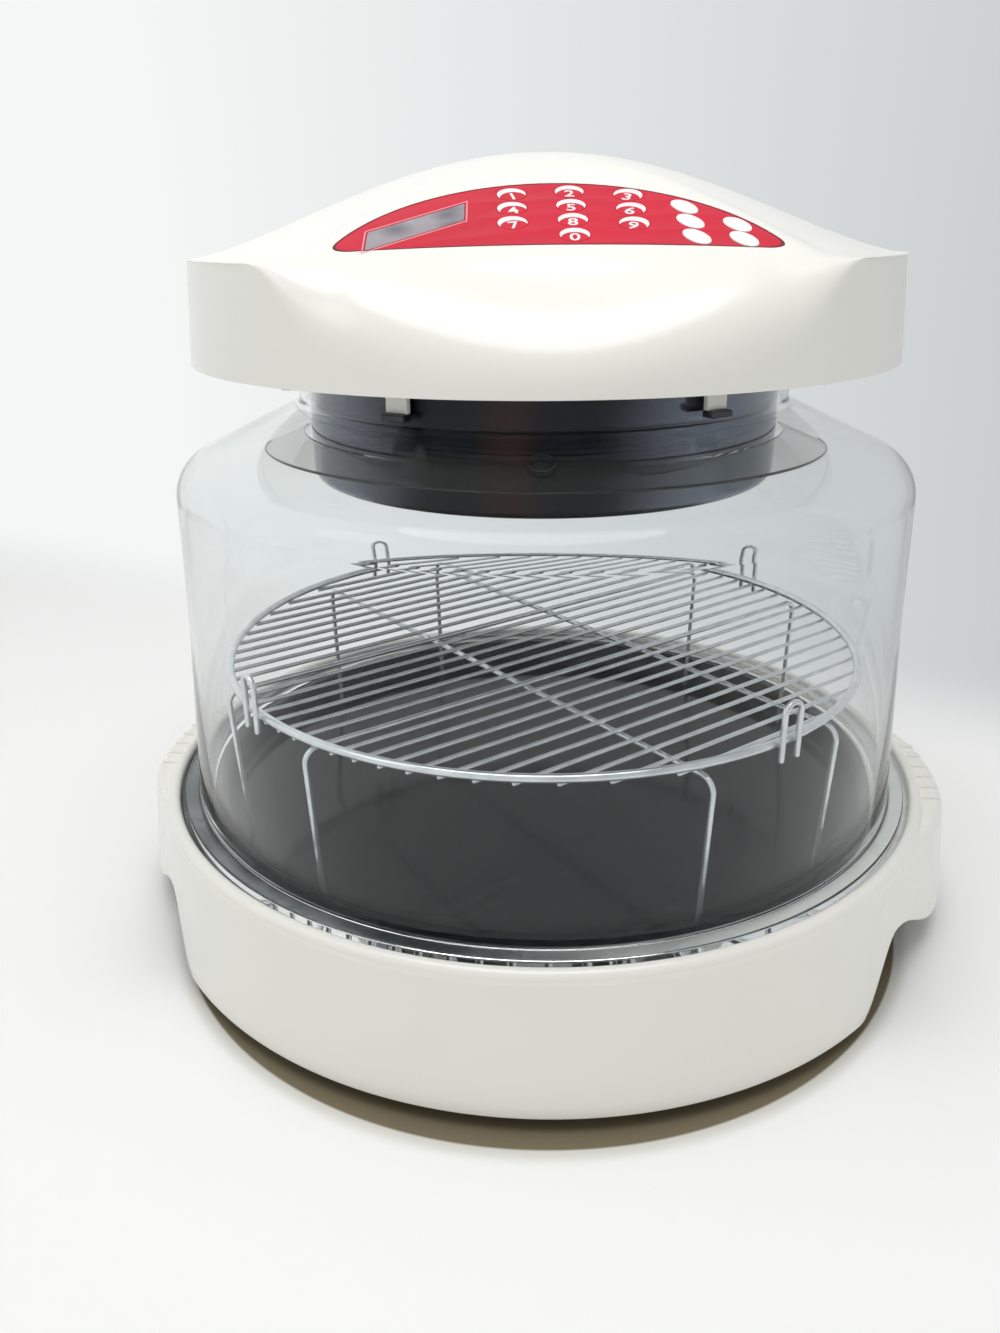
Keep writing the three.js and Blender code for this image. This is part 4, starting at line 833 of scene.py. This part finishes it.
# Head cover
# A cream-white gloss moulding that stands high at both sides like wings and bulges at the
# front; its crown is levelled round the tilted control panel.
HEAD_TURN = 7.1
COVER_BOTTOM = 257
COVER_PEAK = 335
COVER_RADIUS = 148
COVER_WALL = 2.8
WING_EDGE = 296
FRONT_EDGE = 279
BACK_EDGE = 285
WING_ANGLE = 44
WING_FADE = 16
COVER_DRAFT = 2.8
WING_ROUND = 2.6
FRONT_ROUND = 24
CORNER_REACH = 0.85
SIDE_FULLNESS = 1.6
FRONT_FULLNESS = 1.8
PANEL_TILT = 23.7
PANEL_Y = -78
PANEL_HEIGHT = 308.9
PANEL_FADE = 14
PANEL_ARC = 82.9
PANEL_APEX = 31.6
PANEL_SHIFT = 1.2
PANEL_FRONT = -23.8
PANEL_BOW = 4.8
TIP_REACH = 7
TUB_DEPTH = 5
POCKET_FLOOR = -2.9
POCKET_GAP = 0.45
POCKET_REACH = 60
COVER_STEPS = 320
CROWN_STEP = 0.004
CORNER_ROWS = 14
CROWN_ROWS = 44
INNER_CORNER_ROWS = 5
INNER_CROWN_ROWS = 16
PANEL_STEPS = 96
TIP_STEPS = 8
VENT_ANGLES = [90 + side * (13 + 6.5 * i) for side in (1, -1) for i in range(4)]
VENT_BOTTOM = 265
VENT_HEIGHT = 15
VENT_WIDTH = 2.6
VENT_DEPTH = 14
BUSHING_HEIGHT = 267.5
BUSHING_HOLE = 6.3
HOLE_REACH = 12


def cover_edge(angle):
    far = FRONT_EDGE if math.sin(angle) < 0 else BACK_EDGE
    return WING_EDGE + (far - WING_EDGE) * smooth(aside_of(angle), WING_ANGLE, 90)


def near_panel(x, y):
    """1 on the panel and 0 well away from it."""
    up = (y - PANEL_Y) / math.cos(math.radians(PANEL_TILT))
    aside = math.hypot(x - PANEL_SHIFT, up - PANEL_APEX + PANEL_ARC)
    return (smooth(-aside, -PANEL_ARC - PANEL_FADE, -PANEL_ARC)
            * smooth(up, PANEL_FRONT - PANEL_FADE, PANEL_FRONT))


def crown_point(angle, share, inset):
    edge = cover_edge(angle)
    frontness = smooth(-math.sin(angle), 0, 1)
    fullness = SIDE_FULLNESS + (FRONT_FULLNESS - SIDE_FULLNESS) * frontness
    radius = (COVER_RADIUS - inset) * share
    crown = edge + (COVER_PEAK - edge) * (1 - share * share) ** fullness
    x, y, _ = polar(radius, angle)
    near = near_panel(x, y)
    plane = PANEL_HEIGHT + (y - PANEL_Y) * math.tan(math.radians(PANEL_TILT))
    depth = inset and inset + TUB_DEPTH * near
    return (x, y, crown + (plane - crown) * near - depth)


def cover_round(angle, inset):
    side = smooth(-aside_of(angle), -WING_ANGLE - WING_FADE, -WING_ANGLE)
    return max(FRONT_ROUND + (WING_ROUND - FRONT_ROUND) * side - inset, WING_ROUND / 2)


def crown_start(angle, inset):
    """Share of the cover's radius at which the rounded corner begins."""
    return 1 - cover_round(angle, inset) / COVER_RADIUS


def wall_radius(angle, inset, height):
    draft = COVER_DRAFT * (height - COVER_BOTTOM) / (cover_edge(angle) - COVER_BOTTOM)
    return COVER_RADIUS - inset - draft


def wall_row(inset, share=0.0, level=0.0):
    """A row a share of the way round the wall's corner into the crown, or from the corner's
    foot a part of the way down."""
    row = []
    for angle in round_angles(COVER_STEPS):
        start = crown_start(angle, inset)
        near, end = (crown_point(angle, s, inset) for s in (start - CROWN_STEP, start))
        end_radius, end_height = math.hypot(*end[:2]), end[2]
        slope = (end_height - near[2]) / (end_radius - math.hypot(*near[:2]))
        corner_height = end_height
        for _ in range(3):
            corner_radius = wall_radius(angle, inset, corner_height)
            corner_height = end_height + slope * (corner_radius - end_radius)
        reach = min(corner_radius - end_radius, (corner_height - COVER_BOTTOM) * CORNER_REACH)
        foot_height = corner_height - reach
        foot_radius = wall_radius(angle, inset, foot_height)
        height = foot_height + (COVER_BOTTOM - foot_height) * level
        radius = wall_radius(angle, inset, height)
        if share:
            parts = ((1 - share) ** 2, 2 * share * (1 - share), share ** 2)
            radius = sum(p * r for p, r in zip(parts, (foot_radius, corner_radius, end_radius)))
            height = sum(p * h for p, h in zip(parts, (foot_height, corner_height, end_height)))
        row.append(polar(radius, angle, height))
    return row


def crown_rows(inset, steps):
    return [[crown_point(angle, crown_start(angle, inset) * (1 - k / steps), inset)
             for angle in round_angles(COVER_STEPS)] for k in range(1, steps)]


def cover_mesh():
    outer = [wall_row(0, level=level) for level in (1, 0.97, 0.7, 0.4, 0.15)]
    outer += [wall_row(0, k / CORNER_ROWS) for k in range(CORNER_ROWS + 1)]
    outer += crown_rows(0, CROWN_ROWS)
    inner = [wall_row(COVER_WALL, level=level) for level in (1, 0.5)]
    inner += [wall_row(COVER_WALL, k / INNER_CORNER_ROWS) for k in range(INNER_CORNER_ROWS + 1)]
    inner += crown_rows(COVER_WALL, INNER_CROWN_ROWS)
    return skin([*reversed(outer), *inner], centred(COVER_PEAK),
                centred(COVER_PEAK - COVER_WALL))


def panel_outline(grow=0.0):
    """The half-moon's outline: an arc and a bowed front edge, with rounded tips."""
    centre = PANEL_APEX - PANEL_ARC
    radius = PANEL_ARC + grow
    front = PANEL_FRONT - grow
    tip = math.asin((front - centre) / radius)
    points = []
    for i in range(PANEL_STEPS + 1):
        angle = tip + (math.pi - 2 * tip) * i / PANEL_STEPS
        points.append(Vector((PANEL_SHIFT + radius * math.cos(angle),
                              centre + radius * math.sin(angle))))
    reach = radius * math.cos(tip)
    for i in range(1, PANEL_STEPS // 2):
        across = -reach + 2 * reach * i / (PANEL_STEPS // 2)
        points.append(Vector((PANEL_SHIFT + across,
                              front + PANEL_BOW * (1 - (across / reach) ** 2))))
    left, right = points[PANEL_STEPS], points[0]
    kept = [p for p in points if min((p - left).length, (p - right).length) > TIP_REACH]
    outline = []
    for here, after in zip(kept, kept[1:] + kept[:1]):
        outline.append(here)
        if (after - here).length > TIP_REACH:
            tip = min((left, right), key=lambda p: (p - here).length)
            for k in range(1, TIP_STEPS):
                t = k / TIP_STEPS
                outline.append(here * (1 - t) ** 2 + tip * 2 * t * (1 - t) + after * t ** 2)
    return outline


def mesh_of(curve):
    """The mesh that a curve or a text makes."""
    holder = bpy.data.objects.new("holder", curve)
    scene.collection.objects.link(holder)
    mesh = bpy.data.meshes.new_from_object(holder)
    bpy.data.objects.remove(holder)
    return mesh


def slab(outlines, bottom, top, edge=0.0):
    """Flat piece cut to an outline, with any further ones as holes in it."""
    curve = bpy.data.curves.new("slab", "CURVE")
    curve.dimensions = "2D"
    curve.fill_mode = "BOTH"
    for outline in outlines:
        spline = curve.splines.new("POLY")
        spline.points.add(len(outline) - 1)
        for point, place in zip(spline.points, outline):
            point.co = (place[0] * MM, place[1] * MM, 0, 1)
        spline.use_cyclic_u = True
    curve.extrude = ((top - bottom) / 2 - edge) * MM
    curve.bevel_depth = edge * MM
    curve.bevel_resolution = 2
    curve.offset = -edge * MM
    bm = bmesh.new()
    bm.from_mesh(mesh_of(curve))
    bmesh.ops.remove_doubles(bm, verts=bm.verts, dist=1e-7)
    bmesh.ops.recalc_face_normals(bm, faces=bm.faces)
    mesh = closed(bm)
    mesh.transform(at(0, 0, (top + bottom) / 2))
    return mesh


def cut(mesh, cutters):
    """The mesh with several cutters taken away from it."""
    cutter = bpy.data.objects.new("cutter", joined(cutters))
    holder = bpy.data.objects.new("cut", mesh)
    scene.collection.objects.link(cutter)
    scene.collection.objects.link(holder)
    boolean = holder.modifiers.new("cut", "BOOLEAN")
    boolean.operation = "DIFFERENCE"
    boolean.solver = "EXACT"
    boolean.object = cutter
    graph = bpy.context.evaluated_depsgraph_get()
    done = bpy.data.meshes.new_from_object(holder.evaluated_get(graph))
    bpy.data.objects.remove(holder)
    bpy.data.objects.remove(cutter)
    return done


def block(width, depth, height, place, edge=0.0):
    """Box with its middle at the place, and its edges rounded."""
    bm = bmesh.new()
    bmesh.ops.create_cube(bm, size=1)
    bmesh.ops.scale(bm, vec=MM * Vector((width, depth, height)), verts=bm.verts)
    if edge:
        bmesh.ops.bevel(bm, geom=bm.edges, offset=edge * MM, segments=3, profile=0.5,
                        affect="EDGES", material=-1)
    mesh = closed(bm)
    mesh.transform(place)
    return mesh


head_place = turned(HEAD_TURN)
panel_in_head = at(0, PANEL_Y, PANEL_HEIGHT) @ turned(PANEL_TILT, "X")
panel_place = head_place @ panel_in_head
pocket = slab([panel_outline(POCKET_GAP)], POCKET_FLOOR, POCKET_REACH)
pocket.transform(panel_in_head)
vents = [block(VENT_DEPTH, VENT_WIDTH, VENT_HEIGHT,
               turned(degrees) @ at(COVER_RADIUS, 0, VENT_BOTTOM + VENT_HEIGHT / 2))
         for degrees in VENT_ANGLES]
cord_hole = spun([(0, -HOLE_REACH), (BUSHING_HOLE, -HOLE_REACH), (BUSHING_HOLE, HOLE_REACH),
                  (0, HOLE_REACH)], 32)
cord_hole.transform(at(0, COVER_RADIUS, BUSHING_HEIGHT) @ turned(90, "X"))
cover = cut(cover_mesh(), [pocket, *vents, cord_hole])
add_piece("head_cover_moulding", cover, cream, "head", "cream_shell", "head_cover",
          place=head_place)


# Head underside
# A flat cream plate screwed up into the cover, with four hooks that reach down outside the
# dome's neck. Each hook's lip is dark.
PLATE_BORE = 101.4
PLATE_OUTSIDE = 144.2
PLATE_BOTTOM = 256.3
PLATE_TOP = 258.8
HOOK_INSIDE = 106.4
HOOK_WIDTH = 9.4
HOOK_THICK = 2.6
HOOK_LENGTH = 12
HOOK_LIP = 2.4
HOOK_ROUND = 0.5
HOOK_SINK = 0.6
LIP_REACH = 5.6
LIP_WIDTH = 10
PLATE_ROUND = 0.4
HOOK_ANGLES = (-121.2, -57, 57, 123)

hook_foot = PLATE_BOTTOM + HOOK_SINK - HOOK_LENGTH
plate = spun(rounded([
    (PLATE_BORE, PLATE_BOTTOM), (PLATE_OUTSIDE, PLATE_BOTTOM, PLATE_ROUND),
    (PLATE_OUTSIDE, PLATE_TOP, PLATE_ROUND), (PLATE_BORE, PLATE_TOP)]), loop=True)
hooks, lips = ([block(thick, width, height, turned(degrees)
                      @ at(HOOK_INSIDE + thick / 2, 0, middle), HOOK_ROUND)
                for degrees in HOOK_ANGLES]
               for thick, width, height, middle in (
                   (HOOK_THICK, HOOK_WIDTH, HOOK_LENGTH, hook_foot + HOOK_LENGTH / 2),
                   (LIP_REACH, LIP_WIDTH, HOOK_LIP, hook_foot - HOOK_LIP / 2)))
add_piece("underside_plate", joined([plate, *hooks]), cream, "head", "cream_shell",
          "head_bottom_plate", place=head_place)
dark_steel = finish("hook_steel", (70, 72, 76), 0.35, metallic=0.8, mottle=0.2)
add_piece("hook_lips", joined(lips), dark_steel, "head", "cream_shell", place=head_place)


# Control panel
# A red printed film in a shallow pocket of the cover. Ten number keys each carry a white
# crescent and a digit, and five white oval keys stand at the right.
FILM_BOTTOM = -1.6
FILM_ROUND = 0.12
# Width and depth of the painted shade line round the film.
GAP_SHADE_HALF = 0.3
GAP_SHADE_BOTTOM = -0.1
PRINT_SHEET = 0.05
KEY_BOTTOM = -1.1
KEY_TOP = 0.04
KEY_GAP = 0.05
KEY_WIDTH = 11.1
KEY_DEPTH = 10.9
KEY_ROUND = 0.25
KEY_ROWS = 6
OUTLINE_STEPS = 48
KEY_COLUMNS = (-14.13, 7.07, 28.27)
KEY_ROW_TOP = 24.3
KEY_ROW_PITCH = 12
KEY_ARC = 82
KEY_ARC_CENTRE = 4.5
OVAL_WIDTH = 12.9
OVAL_DEPTH = 7.6
OVAL_TILT = -60
OVAL_TOP = 0.5
OVAL_ROUND = 0.3
OVAL_RISE = 0.2
OVAL_PLACES = ((47.4, 10), (48, -2), (48.6, -14.2), (63.9, -5), (64.4, -16.4))
CRESCENT_OUT = 5.25
CRESCENT_IN = 4.85
CRESCENT_DROP = 2.9
PRINT_BOTTOM = KEY_TOP - PRINT_SHEET
PRINT_TOP = KEY_TOP + PRINT_SHEET
DIGIT_SIZE = 7.7
DIGIT_DROP = 2.1
DIGIT_WEIGHT = 0.12
WINDOW_MIDDLE = (-47.6, -4)
WINDOW_LENGTH = 40.5
WINDOW_DEPTH = 11.5
WINDOW_TILT = 35
WINDOW_GAP = 0.3
RED = (209, 30, 57)


def moved(points, across, up, tilt):
    """Points turned by the tilt and set down at a place."""
    c, s = math.cos(math.radians(tilt)), math.sin(math.radians(tilt))
    return [Vector((across + p[0] * c - p[1] * s, up + p[0] * s + p[1] * c)) for p in points]


def ellipse(width, depth, across, up, tilt=0):
    return moved([(width / 2 * math.cos(t), depth / 2 * math.sin(t))
                  for t in round_angles(OUTLINE_STEPS)], across, up, tilt)


def window_outline(grow=0.0):
    """Leaning band with upright ends."""
    run = math.cos(math.radians(WINDOW_TILT))
    rise = math.sin(math.radians(WINDOW_TILT))
    length, depth = WINDOW_LENGTH / 2 + grow, (WINDOW_DEPTH / 2 + grow) / run
    corners = [(-length, -depth), (length, -depth), (length, depth), (-length, depth)]
    return [Vector((WINDOW_MIDDLE[0] + along * run, WINDOW_MIDDLE[1] + up + along * rise))
            for along, up in corners]


def key_cap(outline, middle, bottom, top, edge, rise=0.0):
    """Key with a rounded edge and a gently domed top."""
    def row(share, height):
        return [(*Vector(middle).lerp(p, share), height) for p in outline]

    half = min((p - Vector(middle)).length for p in outline)
    rows = [row(1, bottom), row(1, top - rise - edge)]
    for turn in turns(4)[1:]:
        rows.append(row(1 - edge / half * (1 - math.cos(turn)),
                        top - rise - edge * (1 - math.sin(turn))))
    start = 1 - edge / half
    for k in range(1, KEY_ROWS):
        share = start * (1 - k / KEY_ROWS)
        rows.append(row(share, top - rise * (share / start) ** 2))
    return skin(rows, (*middle, bottom), (*middle, top))


def crescent(across, up, tilt):
    """Outline between two circles, its horns down."""
    y = (CRESCENT_IN ** 2 - CRESCENT_OUT ** 2 - CRESCENT_DROP ** 2) / (2 * CRESCENT_DROP)
    horn = math.degrees(math.asin(y / CRESCENT_OUT))
    inner_horn = math.degrees(math.asin((y + CRESCENT_DROP) / CRESCENT_IN))
    steps = OUTLINE_STEPS // 2
    points = [polar(CRESCENT_OUT, t) for t in turns(steps, horn, 180 - horn)]
    points += [Vector(polar(CRESCENT_IN, t)) - Vector((0, CRESCENT_DROP, 0))
               for t in turns(steps, 180 - inner_horn, inner_horn)[1:-1]]
    return moved(points, across, up, tilt)


def digit(text, across, up, tilt):
    """A printed digit, centred on its place."""
    curve = bpy.data.curves.new("digit", "FONT")
    curve.body = text
    curve.size = DIGIT_SIZE * MM
    curve.align_x = "CENTER"
    curve.align_y = "CENTER"
    curve.extrude = (PRINT_TOP - PRINT_BOTTOM) / 2 * MM
    curve.offset = DIGIT_WEIGHT * MM
    mesh = mesh_of(curve)
    mesh.transform(at(across, up, (PRINT_TOP + PRINT_BOTTOM) / 2) @ turned(tilt))
    return mesh


red = finish("red_film", RED, 0.42, mottle=0.05, mottle_scale=22, grain=0.08, grain_scale=900,
             specular=0.15)
# Dark red for the painted shade in the gap round the film.
dark_red = finish("painted_gap_shade_red", (112, 22, 34), 0.4, mottle=0.05, specular=0.2)
white_print = finish("white_print", (250, 240, 240), 0.4, mottle=0.03, mottle_scale=200)
white_key = finish("white_key_plastic", (248, 248, 246), 0.3, mottle=0.015, mottle_scale=80)
number_keys = []
for number in range(10):
    row, column = (3, 1) if number == 0 else divmod(number - 1, 3)
    across = KEY_COLUMNS[column]
    up = KEY_ROW_TOP - row * KEY_ROW_PITCH - (across - KEY_ARC_CENTRE) ** 2 / (2 * KEY_ARC)
    tilt = -math.degrees((across - KEY_ARC_CENTRE) / KEY_ARC)
    number_keys.append((number, across, up, tilt))
holes = [ellipse(KEY_WIDTH + 2 * KEY_GAP, KEY_DEPTH + 2 * KEY_GAP, across, up)
         for _, across, up, _ in number_keys]
holes += [ellipse(OVAL_WIDTH + 4 * KEY_GAP, OVAL_DEPTH + 4 * KEY_GAP, *place, OVAL_TILT)
          for place in OVAL_PLACES]
film = slab([panel_outline(), *holes, window_outline(WINDOW_GAP)], FILM_BOTTOM, 0, FILM_ROUND)
add_piece("panel_print", film, red, "head", "red_film", "panel_film", place=panel_place)
# Painted shade: a thin dark red line along the film's outline stands for the shade in the gap
# between film and cover.
border = slab([panel_outline(GAP_SHADE_HALF), panel_outline(-GAP_SHADE_HALF)], GAP_SHADE_BOTTOM,
              PRINT_SHEET)
add_piece("panel_painted_gap_shade", border, dark_red, "head", "red_film", place=panel_place)
for number, across, up, tilt in number_keys:
    body = f"key_number_{number}"
    cap = key_cap(ellipse(KEY_WIDTH, KEY_DEPTH, across, up), (across, up), KEY_BOTTOM, KEY_TOP,
                  KEY_ROUND)
    add_piece(f"number_key_{number}", cap, red, body, "red_film", body, place=panel_place)
    low_down = moved([(0, -DIGIT_DROP)], across, up, tilt)[0]
    marks = joined([slab([crescent(across, up, tilt)], PRINT_BOTTOM, PRINT_TOP),
                    digit(str(number), *low_down, tilt)])
    add_piece(f"number_print_{number}", marks, white_print, body, "white_key",
              place=panel_place)
for number, place in enumerate(OVAL_PLACES, 1):
    body = f"key_oval_{number}"
    cap = key_cap(ellipse(OVAL_WIDTH, OVAL_DEPTH, *place, OVAL_TILT), place, KEY_BOTTOM,
                  OVAL_TOP, OVAL_ROUND, OVAL_RISE)
    add_piece(f"oval_key_{number}", cap, white_key, body, "white_key", body, place=panel_place)


# Display window
# A smoked plate over the display, set flush in a leaning opening of the film, with a thin
# pale line printed round it.
WINDOW_DARK = (96, 92, 102)
WINDOW_REFLECTION_PALE = (158, 152, 158)
WINDOW_REFLECTION_PATCH = 90.0
PLATE_EDGE = 0.1
LINE_EDGES = (1.3, 0.7)
LINE_BOTTOM = -0.02


def window_tint(tree, place):
    """Painted reflection: soft dark and pale patches, as of a room mirrored in the smoked plate.
    """
    patch = add_node(tree, "TexVoronoi", {
        "Vector": place, "Scale": WINDOW_REFLECTION_PATCH}, feature="F1").outputs["Distance"]
    return faded(tree, patch, (0.1, 0.7), linear(WINDOW_DARK), linear(WINDOW_REFLECTION_PALE))


# The smoked plate's pale patches are a painted reflection of a room.
smoked = retinted(finish("display_window", WINDOW_DARK, 0.12, mottle=0.1, mottle_scale=30),
                  window_tint)
window = slab([window_outline()], FILM_BOTTOM + PLATE_EDGE, PRINT_SHEET, PLATE_EDGE)
add_piece("window_plate", window, smoked, "head", "smoked_window", "display_window",
          place=panel_place)
line = slab([window_outline(grow) for grow in LINE_EDGES], LINE_BOTTOM, PRINT_SHEET)
pale_print = finish("pale_print", (240, 150, 160), 0.4, mottle=0.05)
add_piece("window_line", line, pale_print, "head", "red_film", place=panel_place)


# Heater skirt
# A drawn steel ring with a dark mirror finish. It hangs from the plate inside the dome's neck
# and shades the lamp.
SKIRT_STEEL = 101
SKIRT_SHEET = 1.2
SKIRT_BOTTOM = 206
SKIRT_TOP = 260.3
SKIRT_LIP = 9
SKIRT_FLANGE = 5
SKIRT_ROUND = 6
# Colours and bands of the painted reflection on the skirt.
TINT_MIDDLE = (46, 32, 31)
TINT_NEAR = (20, 22, 28)
TINT_SIDES = (112, 118, 130)
TINT_SHIFT = 0.004
TINT_WARM = (0.005, 0.013)
TINT_COLD = (0.03, 0.075)

skirt_section = rounded([
    (SKIRT_STEEL + SKIRT_FLANGE, SKIRT_TOP - SKIRT_SHEET),
    (SKIRT_STEEL, SKIRT_TOP - SKIRT_SHEET, 0.6), (SKIRT_STEEL, SKIRT_BOTTOM, SKIRT_ROUND),
    (SKIRT_STEEL - SKIRT_LIP, SKIRT_BOTTOM),
    (SKIRT_STEEL - SKIRT_LIP, SKIRT_BOTTOM + SKIRT_SHEET),
    (SKIRT_STEEL - SKIRT_SHEET, SKIRT_BOTTOM + SKIRT_SHEET, SKIRT_ROUND - SKIRT_SHEET),
    (SKIRT_STEEL - SKIRT_SHEET, SKIRT_TOP, 1.2), (SKIRT_STEEL + SKIRT_FLANGE, SKIRT_TOP),
], 8)


def heat_tint(tree, place):
    """Painted reflection: brown in the middle, over blue-black to blue-grey at the sides, set by
    left-right place.
    """
    aside = worked_out(tree, "ADD", split(tree, place)["X"], TINT_SHIFT)[0]
    aside = worked_out(tree, "ABSOLUTE", aside)[0]
    cold = faded(tree, aside, TINT_COLD, linear(TINT_NEAR), linear(TINT_SIDES), "SMOOTHSTEP")
    return faded(tree, aside, TINT_WARM, linear(TINT_MIDDLE), cold, "SMOOTHSTEP")


# The skirt's colour is a painted reflection that changes from the middle to the sides.
skirt_painted_reflection = retinted(finish("steel_painted_reflection", TINT_NEAR, 0.1, metallic=0.9, mottle=0.2,
                              mottle_scale=12), heat_tint)
add_piece("skirt_pressing", spun(skirt_section, loop=True), skirt_painted_reflection, "head", "dark_skirt",
          "heater_skirt")


# Parts inside the head
# The guard, reflector and ring lamp show from below; the motor, fans, board and display stand
# above the deck. Sheet steel is satin, the tube quartz, the board green resin.
for material, members in (
        (finish("satin_sheet", (196, 198, 200), 0.32, metallic=1, mottle=0.06, grain=0.2,
                grain_scale=1200),
         ("lamp_guard", "reflector", "lamp_clip_1", "lamp_clip_2", "motor_deck",
          "motor_bracket", "oven_fan", *(f"head_screw_{i}" for i in range(1, 5)))),
        (finish("quartz_tube", (232, 226, 210), 0.15, mottle=0.05, coat=0.5), ("ring_lamp",)),
        (finish("lamp_ceramic", (233, 228, 216), 0.55, mottle=0.05, grain=0.3),
         ("lamp_end_1", "lamp_end_2")),
        (finish("sensor_steel", (120, 122, 126), 0.3, metallic=1, mottle=0.1),
         ("heat_sensor",)),
        (finish("motor_steel", (150, 152, 154), 0.4, metallic=1, mottle=0.12, grain=0.3),
         ("fan_motor", "fan_shaft")),
        (finish("fan_plastic", (38, 38, 40), 0.5, mottle=0.1, grain=0.2), ("cooling_fan",)),
        (finish("board_resin", (40, 104, 66), 0.45, mottle=0.15, mottle_scale=200, grain=0.4,
                grain_scale=800), ("control_board", "panel_membrane")),
        (finish("display_glass", (60, 64, 66), 0.1, mottle=0.1), ("display_module",)),
        (finish("bushing_rubber", (40, 40, 41), 0.7, mottle=0.1, grain=0.3),
         ("cord_bushing",))):
    for member in members:
        mesh = cad[member].data
        mesh.materials.clear()
        mesh.materials.append(material)
